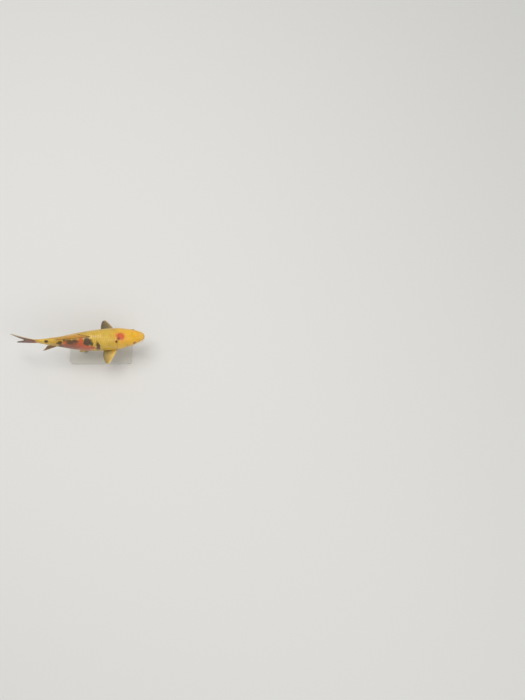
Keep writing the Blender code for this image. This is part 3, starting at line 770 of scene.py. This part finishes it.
# Eye: a clear wet cornea over a golden iris and a dark round pupil. Millimetres, and degrees from its axis
eyes = {
    "rings": 40, "around": 48, "radius": 8.1,
    "span": 75.0,               # the tones below are given by shares of this angle
    "tones": [(0.0, "#0b0a09"), (0.265, "#0d0b09"), (0.285, "#dba63a"), (0.36, "#c8953a"),
              (0.50, "#a9782f"), (0.575, "#6d4c20"), (0.61, "#2b2014")],
}
eyeFinish, tree = newMaterial("wetEyeball")
turn = splitAttribute(tree, "eyeTurn")
streak = addNode(tree, "CombineXYZ", {"X": turn["Y"], "Y": turn["Z"]})
streaks = addNode(tree, "TexNoise", {"Vector": streak, "Scale": 9.0, "Detail": 2.0})    # about 57 round it
shifted = addNode(tree, "Math", {0: streaks, 1: 0.06, 2: turn["X"]}, operation="MULTIPLY_ADD")
iris = addNode(tree, "ValToRGB", {0: shifted}, ramp=eyes["tones"])
addShader(tree, {"Base Color": iris, "Roughness": 0.18, "IOR": 1.38, "Coat Weight": 1.0,
                 "Coat Roughness": 0.02})


def buildEyes():
    # a ball of rings about the way the eye looks: cos(tilt) along it, and sin(tilt) round it
    tilt, turn = np.meshgrid(np.linspace(0, math.pi, eyes["rings"] + 2)[1:-1],
                             np.linspace(0, 2 * math.pi, eyes["around"], endpoint=False), indexing="ij")
    ball = np.stack([np.cos(tilt), np.sin(tilt) * np.cos(turn), np.sin(tilt) * np.sin(turn)], -1)
    turns = np.stack([np.degrees(tilt) / eyes["span"], np.cos(turn), np.sin(turn)], -1)
    turns = withEnds(turns, (0, 0, 0), (1, 0, 0))
    radius = eyes["radius"] * milli
    for side, word in ((1, "left"), (-1, "right")):
        centre, _, outward = eyePlace(side)
        east = unit(np.cross(up, outward))
        shell = centre + ball @ np.array([outward, east, np.cross(outward, east)]) * radius
        makePiece("koiEye_" + word, withEnds(shell, centre + outward * radius, centre - outward * radius),
                  closedFaces(*tilt.shape), eyeFinish, ("eye_" + word,), {"eyeTurn": turns})


buildEyes()

# Barbels. Each kind has its place, angle, length in mm, and radii at root and tip
barbels = {
    "around": 16,
    "kinds": {"long": (0.0175, 103.0, 22.0, 1.3, 0.60), "short": (0.0130, 70.0, 12.0, 1.0, 0.50)},
    "tone": {"bodyShare": (0.02, 0.74, 0.0), "headMarks": (0.0, 0.0, 0.0)},     # as the side of the snout
}


def buildBarbels():
    # a round tube; in shares s of its length it swings out by 0.75 s - 0.38 s^2, back by 0.68 s^2 and down
    # by 0.68 s - 0.18 s^2. Its radius narrows evenly, with a foot at the root, and closes in a round tip
    tip = 0.94 + 0.06 * np.sin(np.linspace(0.25, 1, 5) * math.pi / 2)
    s = np.concatenate([np.linspace(0, 0.94, 26), tip])[:, None]
    turn = np.linspace(0, 2 * math.pi, barbels["around"], endpoint=False)[:, None]
    for kind, (place, angle, length, root, end) in barbels["kinds"].items():
        for side, word in ((1, "left"), (-1, "right")):
            start, outward = bodyPoint(place, side * angle), bodyNormal(place, side * angle)
            path = outward * (0.75 * s - 0.38 * s**2 - 0.08) + bodyAxes(place)[0] * 0.68 * s**2
            path = start + (path - up * (0.68 * s - 0.18 * s**2)) * length * milli
            ahead = unit(np.gradient(path, axis=0))
            flank = unit(np.cross(ahead, up))
            over = np.cross(flank, ahead)
            radius = mix(root, end, s) * np.sqrt(np.clip((1 - s) / 0.05, 0.02, 1)) + 0.6 * np.exp(-s / 0.06)
            ring = flank[:, None] * np.cos(turn) + over[:, None] * np.sin(turn)
            tube = withEnds(path[:, None] + ring * radius[:, None] * milli, path[0], path[-1])
            marks = {"bodyPlace": (place * bodyMillis, side * 40.0, 0.0), **barbels["tone"]}
            marks = {mark: np.tile(numbers, (len(tube), 1)) for mark, numbers in marks.items()}
            name = kind + "_" + word
            makePiece("koiBarbel_" + name, tube, closedFaces(len(s), len(turn)), skinFinish,
                      ("barbel_" + name,), marks)


buildBarbels()

# Fins. Each has a surface of two shares: u runs across the rays from the leading edge, v along them.
# Pairs run from the leading edge's ray to the last one's, and lengths are in body lengths. Build, in
# millimetres: half thicknesses at the root and rim, how far the root's dies away, what the leading ray
# adds, a ray's ridge and half width, and the ripple between rays; scallop is the share that the rim lacks
rootDepth = 0.0035              # metres that a fin starts under the skin
finBuild = {
    "all": {"fade": 13, "rim": 0.16, "rayWidth": 0.42, "scallop": 0.014},
    "dorsal": {"rays": 18, "perRay": 12, "rows": 44, "root": 1.5, "lead": 0.6, "ridge": 0.34, "ripple": 0.45,
               "places": (0.470, 0.800), "slopes": (32.0, 27.0), "length": 0.078, "longer": (0.080, 1.3),
               "short": (0.14, 0.08), "lean": 0.10},
    "tail": {"rays": 18, "perRay": 13, "rows": 60, "root": 1.9, "lead": 0.5, "ridge": 0.36, "ripple": 0.35,
             "fade": 22, "rayWidth": 0.45, "scallop": 0.008,
             "place": 0.965, "heights": (0.043, -0.040), "slopes": (25.0, -24.0), "length": 0.165,
             "longer": (0.165, 1.5), "rounded": (0.050, 10)},
    "anal": {"rays": 7, "perRay": 14, "rows": 34, "root": 1.3, "lead": 0.8, "ridge": 0.32, "ripple": 0.30,
             "scallop": 0.012,
             "places": (0.770, 0.850), "slopes": (19.0, 13.0), "lengths": (0.238, 0.078), "fall": 0.8,
             "short": (0.10, 0.15), "swing": 0.25},
    "pectoral": {"rays": 15, "perRay": 13, "rows": 48, "root": 1.5, "lead": 0.7, "ridge": 0.36,
                 "ripple": 0.40,
                 "places": (0.262, 0.292), "angles": (117.0, 121.0), "sweep": (27.0, 77.0), "bend": 8.0,
                 "length": 0.180, "shorter": (0.090, 1.1), "short": (0.020, 0.14), "drops": (0.0006, -0.0006),
                 "rise": (0.0040, 0.006, 0.010)},
    "pelvic": {"rays": 9, "perRay": 13, "rows": 36, "root": 1.3, "lead": 0.6, "ridge": 0.32, "ripple": 0.30,
               "places": (0.485, 0.515), "angles": (150.0, 158.0), "spread": (3.0, -2.0), "hang": (0.26, 0.0),
               "length": 0.148, "shorter": (0.050, 1.3), "short": (0.016, 0.15), "lift": 1.9},
}


def leadCut(fin, u):
    # what the first rays are short of: an amount that falls evenly to none at a share across the rays
    amount, reach = fin["short"]
    return amount * np.maximum(0, 1 - u / reach)


def ridgeHeight(place, angle):
    # how far the back's ridge or the belly's lies over the spine
    return bodyPoint(place, angle)[..., 2] - body["height"]


def dorsalSurface(u, v):
    # half folded: rays lie back at a low slope from the back's ridge, and lean a little to the left. They
    # lengthen forwards with a power of 1 - u
    fin = finBuild["dorsal"]
    place, slope = mix(*fin["places"], u), np.radians(mix(*fin["slopes"], u))
    amount, power = fin["longer"]
    length = (fin["length"] + amount * (1 - u) ** power) * (1 - leadCut(fin, u))
    along = place + length * v * np.cos(slope)
    rise = length * np.sin(slope) * body["length"]
    height = ridgeHeight(place, 0.0) - rootDepth + v * (rise + rootDepth)
    left = bodyAxes(along)[1]
    return spinePoint(along) + up * height[..., None] + left * (fin["lean"] * v * rise)[..., None], left


def tailSurface(u, v):
    # two rounded lobes with a fork between them: rays fan up and down and lengthen towards both edges with
    # one power of |2u - 1|, less a higher one
    fin, lobe = finBuild["tail"], np.abs(2 * u - 1)
    (amount, power), (less, rounding) = fin["longer"], fin["rounded"]
    length = fin["length"] + amount * lobe**power - less * lobe**rounding
    slope = np.radians(mix(*fin["slopes"], u))
    height = mix(*fin["heights"], u) + v * length * np.sin(slope) * (0.75 + 0.25 * v)
    along = fin["place"] + v * length * np.cos(slope)
    return spinePoint(along) + up * (height * body["length"])[..., None], bodyAxes(along)[1]


def analSurface(u, v):
    # rays trail back and a little down from the belly's ridge, and swing over to the right
    fin = finBuild["anal"]
    place, slope = mix(*fin["places"], u), np.radians(mix(*fin["slopes"], u))
    length = mix(*fin["lengths"], u ** fin["fall"]) * (1 - leadCut(fin, u))
    along = place + length * v * np.cos(slope)
    drop = v * (length * np.sin(slope) * body["length"] + rootDepth) - rootDepth - ridgeHeight(place, 180.0)
    left, swing = bodyAxes(along)[1], fin["swing"] * v * length * body["length"]
    return spinePoint(along) - up * drop[..., None] - left * swing[..., None], left


def pectoralSurface(side):
    # the left fin for side 1, and the right one for side -1
    def surface(u, v):
        # a level fan low behind the gill, swept back, its rays bowed and its middle raised a little
        fin = finBuild["pectoral"]
        start = bodyPoint(mix(*fin["places"], u), side * mix(*fin["angles"], u))
        turn = np.radians(mix(*fin["sweep"], u) + fin["bend"] * v)[..., None]
        amount, power = fin["shorter"]
        length = (fin["length"] - amount * u**power - leadCut(fin, u)) * body["length"]
        back, left = bodyAxes(0.27)
        out = left * side
        start = start - out * rootDepth - up * mix(*fin["drops"], u)[..., None]
        middle, droop, trail = fin["rise"]
        rise = middle * np.sin(math.pi * u) * v - droop * v * v + trail * u * v
        ray = out * np.cos(turn) + back * np.sin(turn)
        return start + ray * ((length + rootDepth) * v)[..., None] + up * rise[..., None], up

    return surface


def pelvicSurface(side):
    # the same for the pelvic fins
    def surface(u, v):
        # a small fan folded back along the belly, its leading edge hanging lower
        fin = finBuild["pelvic"]
        turn = np.radians(mix(*fin["spread"], u))[..., None]
        amount, power = fin["shorter"]
        length = (fin["length"] - amount * u**power - leadCut(fin, u)) * body["length"]
        back, left = bodyAxes(0.50)
        normal = bodyNormal(0.50, side * fin["angles"][0])
        ray = back * np.cos(turn) + left * side * np.sin(turn) - up * mix(*fin["hang"], u)[..., None]
        start = bodyPoint(mix(*fin["places"], u), side * mix(*fin["angles"], u)) - normal * rootDepth
        lift = rootDepth * fin["lift"] * np.minimum(1, v * 3)
        return start + ray * (length * v)[..., None] + normal * lift[..., None], normal

    return surface


def slabFaces(rows, columns):
    # a closed slab: the upper grid, the lower one turned over, and the rim between them
    upper, rim, low = gridQuads(rows, columns), gridRim(rows, columns), rows * columns
    return [upper, upper[:, ::-1] + low, rimQuads(rim, rim + low)]


def buildFin(name, kind, surface, finish, node):
    # a membrane with rays as ridges on both faces. Each ray forks in two and then in four: the distance
    # from its nearest branch is || |cell| - split | - split |, where the splits grow along the ray. The
    # rim between the tips of the rays stops a little short of them
    spec = {**finBuild["all"], **finBuild[kind]}
    rows, columns = spec["rows"], spec["rays"] * spec["perRay"] + 1
    v, u = np.meshgrid(np.linspace(0, 1, rows) ** 0.92, np.linspace(0, 1, columns), indexing="ij")
    fork = np.abs((u * spec["rays"]) % 1 - 0.5)
    for split in (0.25 * smoothStep(0.34, 0.60, v), 0.125 * smoothStep(0.66, 0.86, v)):
        fork = np.abs(fork - split)
    points, stand = surface(u, v * (1 - spec["scallop"] * v**4 * smoothStep(0.02, 0.12, fork)))
    wave = np.cos(2 * math.pi * spec["rays"] * u) * v + 1.6 * np.sin(5.2 * u + 2.2 * v) * v * v
    points = points + stand * (spec["ripple"] * wave * milli)[..., None]
    pitch = np.linalg.norm(np.gradient(points, axis=1), axis=-1) * spec["perRay"] / milli
    steps = np.linalg.norm(np.diff(points, axis=0, prepend=points[:1]), axis=-1)
    fromRoot = np.cumsum(steps, axis=0) / milli
    ray = bell(fork * pitch, 0, mix(spec["rayWidth"], 0.6 * spec["rayWidth"], v))
    rim = smoothStep(0, 1.2, fromRoot[-1:] - fromRoot)
    half = spec["rim"] * (0.45 + 0.55 * rim)
    half = half + (spec["root"] - spec["rim"]) * np.exp(-((fromRoot / spec["fade"]) ** 1.5))
    half = half + spec["ridge"] * ray * mix(1.0, 0.35, v) * (0.35 + 0.65 * rim)
    half = half + spec["lead"] * bell(u * spec["rays"], 0.35, 0.65) * (1 - 0.85 * v)
    half = half * (0.35 + 0.65 * smoothStep(0, 0.25, np.minimum(u, 1 - u) * spec["rays"]))
    offset = gridNormals(points) * (half * milli)[..., None]
    shares, fromRoot = np.stack([u, v, ray], -1).reshape(-1, 3), fromRoot.ravel()
    marks = {"finPlace": np.concatenate([shares, shares]), "fromRoot": np.concatenate([fromRoot, fromRoot])}
    makePiece(name, np.stack([points + offset, points - offset]), slabFaces(rows, columns), finish,
              (node,), marks)


# Fin membrane: thin wet skin stretched over horny rays, so it lets some light through between them.
# The spans of the fleshy root and the width of the patches are in millimetres, the rest in shares
finTones = {
    "all": {"trailFrom": (0.8, 1.5), "leadWidth": 0.10, "clear": 0.88, "rootSpan": (3, 14), "patch": 7.692},
    "nearPectoral": {"along": ["#f2c240", "#ecbf46", "#cba744", "#86743c"], "trail": "#50472c",
                     "ray": "#ecc765", "lead": "#f6cf68", "root": "#e6b548",
                     "trailFrom": (0.45, 1.20), "clear": 0.90, "rootSpan": (4, 16)},
    # painted shade: the left pectoral is a darker copy of the right one's tones, as if less lit; its paler
    # leading edge is a painted highlight
    "farPectoral": {"along": ["#c79f45", "#a58746", "#7d6a40", "#5f5338"], "trail": "#484030",
                    "ray": "#a0864c", "lead": "#b9955c", "root": "#d3a548",
                    "trailFrom": (0.45, 1.15), "leadWidth": 0.12, "rootSpan": (4, 16)},
    # painted shadow: the dark brown root is a painted shadow line where the fin meets the back; the dark lead
    # is partly the spine's own darker tone and partly painted shade
    "dorsal": {"along": ["#f0c070", "#f6ae44", "#f8b850", "#f4d090"], "trail": "#e2b85c",
               "ray": "#ecc26a", "lead": "#86693a", "root": "#a4732a",
               "trailFrom": (0.9, 1.6), "leadWidth": 0.06, "clear": 0.93, "rootSpan": (7, 11)},
    "tail": {"along": ["#a86a3e", "#96503a", "#87493a", "#655842"], "trail": "#665a44",
             "ray": "#96654a", "lead": "#e2d2aa", "root": "#cfa548",
             "trailFrom": (1.15, 1.6), "leadWidth": 0.15, "rootSpan": (13, 29)},
    "anal": {"along": ["#bd8c3c", "#96693a", "#86603a", "#9a7a34"], "trail": "#7d5f3a",
             "ray": "#b48a48", "lead": "#a57e3c", "root": "#d9b562"},
    "pelvic": {"along": ["#e0b24c", "#d6b05a", "#ccb070", "#bfa878"], "trail": "#ae9766",
               "ray": "#e6c87c", "lead": "#dcb45a", "root": "#e6cf8e"},
}


def finFinish(name):
    # a run of tones along the rays, and over it the trailing part's, uneven patches, the rays', the leading
    # edge's and the fleshy root's; clearer towards the rim, between the rays. On the dorsal fin the root's
    # tone is a painted shadow line, and the lead's is partly painted shade
    tones = {**finTones["all"], **finTones[name]}
    made, tree = newMaterial("wetFinMembrane" + name[0].upper() + name[1:])
    share = splitAttribute(tree, "finPlace")
    low, high = tones["trailFrom"]
    start, end = tones["rootSpan"]
    margin = addNode(tree, "Math", {0: share["Y"], 1: 0.6, 2: share["X"]}, operation="MULTIPLY_ADD")
    trail = addNode(tree, "MapRange", {"Value": margin, "From Min": low, "From Max": high, "To Max": 0.9})
    rays = addNode(tree, "Math", {0: share["Z"], 1: 0.55}, operation="MULTIPLY")
    lead = addNode(tree, "MapRange", {"Value": share["X"], "From Min": tones["leadWidth"],
                   "From Max": 0.4 * tones["leadWidth"], "To Max": 0.95})
    fromRoot = addNode(tree, "Attribute", attribute_name="fromRoot").outputs["Fac"]
    root = addNode(tree, "MapRange", {"Value": fromRoot, "From Min": end, "From Max": start},
                   interpolation_type="SMOOTHSTEP")
    ramp = list(zip((0.05, 0.35, 0.70, 1.0), tones["along"]))
    colour = addNode(tree, "ValToRGB", {0: share["Y"]}, ramp=ramp)
    colour = addNode(tree, "Mix", {0: trail, 6: colour, 7: tones["trail"]}, data_type="RGBA")
    space = addNode(tree, "TexCoord").outputs["Object"]
    patches = addNode(tree, "TexNoise", {"Vector": space, "Scale": 1 / (tones["patch"] * milli),
                      "Detail": 3.0})
    patches = addNode(tree, "ValToRGB", {0: patches}, ramp=[(0.3, "#e4dccd"), (0.6, "#ffffff")])
    colour = addNode(tree, "Mix", {0: 0.8, 6: colour, 7: patches}, data_type="RGBA", blend_type="MULTIPLY")
    for part, tone in ((rays, "ray"), (lead, "lead"), (root, "root")):
        colour = addNode(tree, "Mix", {0: part, 6: colour, 7: tones[tone]}, data_type="RGBA")
    thin = addNode(tree, "MapRange", {"Value": share["Y"], "From Min": 0.15, "From Max": 0.75,
                   "To Min": 1.0, "To Max": tones["clear"]})
    solid = addNode(tree, "Math", {0: thin, 1: rays}, operation="MAXIMUM")
    addShader(tree, {"Base Color": colour, "Alpha": solid, "Roughness": 0.34, "IOR": 1.40,
                     "Coat Weight": 0.3, "Coat Roughness": 0.15})
    return made


def buildFins():
    # three in the middle, and a pair of pectoral and pelvic fins; the left pectoral has darker tones, painted
    # shade for the lesser light on the far side, and the right one the brighter tones
    for kind, surface in (("dorsal", dorsalSurface), ("tail", tailSurface), ("anal", analSurface)):
        buildFin("koi" + kind.capitalize() + "Fin", kind, surface, finFinish(kind), kind + "_fin")
    pelvic = finFinish("pelvic")
    for side, word, tones in ((1, "left", "farPectoral"), (-1, "right", "nearPectoral")):
        buildFin("koiPectoralFin_" + word, "pectoral", pectoralSurface(side), finFinish(tones),
                 "pectoral_fin_" + word)
        buildFin("koiPelvicFin_" + word, "pelvic", pelvicSurface(side), pelvic, "pelvic_fin_" + word)


buildFins()

# Display stand, in metres, as the solids: plate, two rods with foot flanges, and the pads under the belly
stand = {
    "plate": (0.230, 0.110, 0.008), "corner": 0.012, "edge": 0.0015, "footEdge": 0.0008,
    "rods": {"front": 0.330, "rear": 0.600},        # their places along the body
    "gap": 0.0003, "rodRadius": 0.004, "flangeRadius": 0.011, "flangeHeight": 0.003, "fillet": 0.002,
    "padRadius": 0.009, "padDepth": 0.006, "padEdge": 0.0012, "padGap": 0.00035,
    "around": 40, "hub": 0.0005,                    # points round a turned part, and its innermost ring
}


# Plain finishes: roughness from and to, the grain's width in mm, and the rest. The grain of the stand is
# drawn two to four times as coarse as the real one, so that it shows close up
plainFinishes = {
    # baked powder: an even, slightly pebbled surface with a broad weak gleam
    "powderCoatedSteel": (0.42, 0.56, 0.4, {"Base Color": "#c9c5bb", "IOR": 1.5}),
    # turned and brushed: grey metal whose reflections are blurred
    "brushedStainlessSteel": (0.24, 0.36, 0.3333, {"Base Color": "#b9b8b4", "Metallic": 1.0}),
    # moulded in a blasted mould: dark and dull
    "mouldedSiliconeRubber": (0.70, 0.85, 0.5556, {"Base Color": "#2b2b2c", "IOR": 1.43}),
    # rolled on: nearly no gleam, with faint broad unevenness
    "mattPaintedFloor": (0.75, 0.9, 16.67, {"Base Color": "#dedbd5", "IOR": 1.4}),
}


def plainFinish(name):
    # a noise varies the roughness from its low to its high value and dents the surface
    low, high, size, inputs = plainFinishes[name]
    made, tree = newMaterial(name)
    grain, dents = addGrain(tree, size, 3.0, 0.3, 0.0001)
    rough = addNode(tree, "MapRange", {"Value": grain, "To Min": low, "To Max": high})
    addShader(tree, {**inputs, "Roughness": rough, "Normal": dents})
    return made


def turnedShell(profile, middle):
    # a profile of (radius, height) rows carried round an upright axis, closed by a fan at each end
    turn, profile = np.linspace(0, 2 * math.pi, stand["around"], endpoint=False), np.array(profile)
    ring = np.stack([np.cos(turn), np.sin(turn), np.zeros(len(turn))], -1)
    grid = middle + ring * profile[:, 0, None, None] + up * profile[:, 1, None, None]
    points = withEnds(grid, middle + up * profile[0, 1], middle + up * profile[-1, 1])
    return points, closedFaces(len(profile), len(turn))


def arcPoints(middleRadius, middleHeight, radius, start, end, steps=6):
    # (radius, height) rows along a round edge, from one angle to another: its middle, and its own radius
    # times the angle's cosine and sine
    turn = np.radians(np.linspace(start, end, steps))
    return list(zip(middleRadius + radius * np.cos(turn), middleHeight + radius * np.sin(turn)))


def bellyHeight(x, y, place):
    # height of the belly over a spot near a place: the section's lower half read at that sideways distance
    local = place - (x - spinePoint(place)[0]) / body["length"]
    halfWidth, _, level, belly = section(local)
    share = np.clip(np.abs(y - spinePoint(local)[..., 1]) / (halfWidth * body["length"]), 0, 1)
    drop = (1 - share ** body["trunkSquare"]) ** (1 / body["trunkSquare"])
    return body["height"] + (level - drop * (level - belly)) * body["length"]


def buildPlate():
    # the rounded outline, inset and raised along its two softened edges, with a flat cap at each end. A
    # corner's points lie at its middle plus its radius times the angle's cosine and sine
    corner, edge, foot = stand["corner"], stand["edge"], stand["footEdge"]
    profile = arcPoints(-foot, foot, foot, -90, 0, 5)
    profile += arcPoints(-edge, stand["plate"][2] - edge, edge, 0, 90, 7)
    inset, height = np.array(profile).T[..., None]
    turn = np.radians(np.arange(0, 360, 90)[:, None] + np.linspace(0, 90, 13)).ravel()
    sides = np.repeat([(1, 1), (-1, 1), (-1, -1), (1, -1)], 13, axis=0).T
    east, north = (side * (size / 2 - corner) + (corner + inset) * way(turn)
                   for side, size, way in zip(sides, stand["plate"], (np.cos, np.sin)))
    points = np.stack([east, north, np.broadcast_to(height, east.shape)], -1)
    around = np.arange(len(turn))
    caps = np.array([around[::-1], around + (len(profile) - 1) * len(turn)])
    faces = [gridQuads(len(profile), len(turn), wrap=True), caps]
    makePiece("standPlate", points, faces, plainFinish("powderCoatedSteel"), ("stand_base",),
              sharp=35)


def buildRod(word, middle, foot, top, finish):
    # a flange with a rounded rim, a hollow fillet up to the rod, and the rod with its edge broken
    rod, flange, rise = stand["rodRadius"], stand["flangeRadius"], stand["flangeHeight"]
    hub, fillet, edge = stand["hub"], stand["fillet"], 0.0008
    profile = [(hub, foot), (flange - 0.0002, foot), (flange, foot + 0.0002)]
    profile += arcPoints(flange - edge, foot + rise - edge, edge, 0, 90)
    profile += arcPoints(rod + fillet, foot + rise + fillet, fillet, 270, 180)
    profile += [(rod, top - 0.0004), (rod - 0.0004, top), (hub, top)]
    points, faces = turnedShell(profile, middle)
    makePiece("standRod_" + word, points, faces, finish, ("stand_rod_" + word,), sharp=35)


def buildPad(word, place, middle, foot, finish):
    # a round pad whose top is a cup: each of its points rises to a fixed gap under the belly
    radius, edge, around = stand["padRadius"], stand["padEdge"], stand["around"]
    profile = [(stand["hub"], foot), (radius - 0.0015, foot)]
    profile += arcPoints(radius - edge, foot + edge, edge, -80, 0)
    plain = len(profile) * around
    profile += [(r, 0) for r in (radius, radius - 0.0003, radius - 0.0009, 0.006, 0.003, stand["hub"])]
    points, faces = turnedShell(profile, middle)
    cup = np.append(np.arange(plain, len(profile) * around), len(points) - 1)
    points[cup, 2] = bellyHeight(points[cup, 0], points[cup, 1], place) - stand["padGap"]
    points[plain:plain + around, 2] -= 0.0006
    makePiece("standPad_" + word, points, faces, finish, ("stand_pad_" + word,), sharp=50)


def buildStand():
    # each rod reaches from the plate to its pad, with a gap at both ends, under a place of the belly
    buildPlate()
    steel, rubber = plainFinish("brushedStainlessSteel"), plainFinish("mouldedSiliconeRubber")
    for word, place in stand["rods"].items():
        middle = spinePoint(place) * [1, 1, 0]
        padFoot = float(bodyPoint(place, 180.0)[2]) - stand["padDepth"]
        buildRod(word, middle, stand["plate"][2] + stand["gap"], padFoot - stand["gap"], steel)
        buildPad(word, place, middle, padFoot, rubber)


buildStand()

# Studio: a wide pale floor, a pale sky, and two large soft lights well outside the view. A light has its
# place, the width of its disc and its power
studio = {"floorRings": (0.05, 0.3, 1.0, 2.0, 3.2), "around": 64, "skyStrength": 1.0,
          "sky": [(0.0, "#d0cecb"), (0.05, "#cfcecc"), (0.30, "#c4c6c9"), (1.0, "#bfc3c8")],
          "lights": {"key": ((-0.5, 0.7, 3.6), 2.4, 62.0), "fill": ((1.6, -1.8, 2.6), 2.0, 17.0)}}


def buildFloor():
    # rings of points round the origin, a tenth of a millimetre down
    turn = np.linspace(0, 2 * math.pi, studio["around"], endpoint=False)
    ring = np.stack([np.cos(turn), np.sin(turn), np.zeros(len(turn))], -1)
    disc = ring * np.array(studio["floorRings"])[:, None, None]
    points = np.vstack([disc.reshape(-1, 3), [[0, 0, 0]]]) - [0, 0, 0.0001]
    quads = gridQuads(len(disc), len(turn), wrap=True)[:, ::-1]
    fan = fanTriangles(np.arange(len(turn)), len(points) - 1)
    mesh = bpy.data.meshes.new("floor")
    mesh.from_pydata(points.tolist(), [], quads.tolist() + fan.tolist())
    mesh.materials.append(plainFinish("mattPaintedFloor"))
    floor = bpy.data.objects.new("floor", mesh)
    bpy.context.scene.collection.objects.link(floor)


def buildLight():
    # the sky's tones by height, and lamps that face a spot over the origin: the tilt is the arctangent of
    # the level distance over the drop, and the turn that of the way across
    world = bpy.data.worlds.new("sky")
    world.use_nodes = True
    sky = world.node_tree.nodes["Background"]
    sky.inputs["Strength"].default_value = studio["skyStrength"]
    way = addNode(world.node_tree, "TexCoord").outputs["Generated"]
    height = addNode(world.node_tree, "SeparateXYZ", {0: way}).outputs["Z"]
    tones = addNode(world.node_tree, "ValToRGB", {0: height}, ramp=studio["sky"])
    world.node_tree.links.new(tones.outputs["Color"], sky.inputs["Color"])
    bpy.context.scene.world = world
    for name, (spot, size, power) in studio["lights"].items():
        lamp = bpy.data.lights.new(name, "AREA")
        lamp.shape, lamp.size, lamp.energy = "DISK", size, power
        light = bpy.data.objects.new(name, lamp)
        light.location = spot
        x, y, z = np.array([0, 0, 0.1]) - spot
        light.rotation_euler = (math.atan2(math.hypot(x, y), -z), 0, math.atan2(y, x) - math.pi / 2)
        light.visible_camera = False
        bpy.context.scene.collection.objects.link(light)


buildFloor()
buildLight()
print("koi: studio ready")
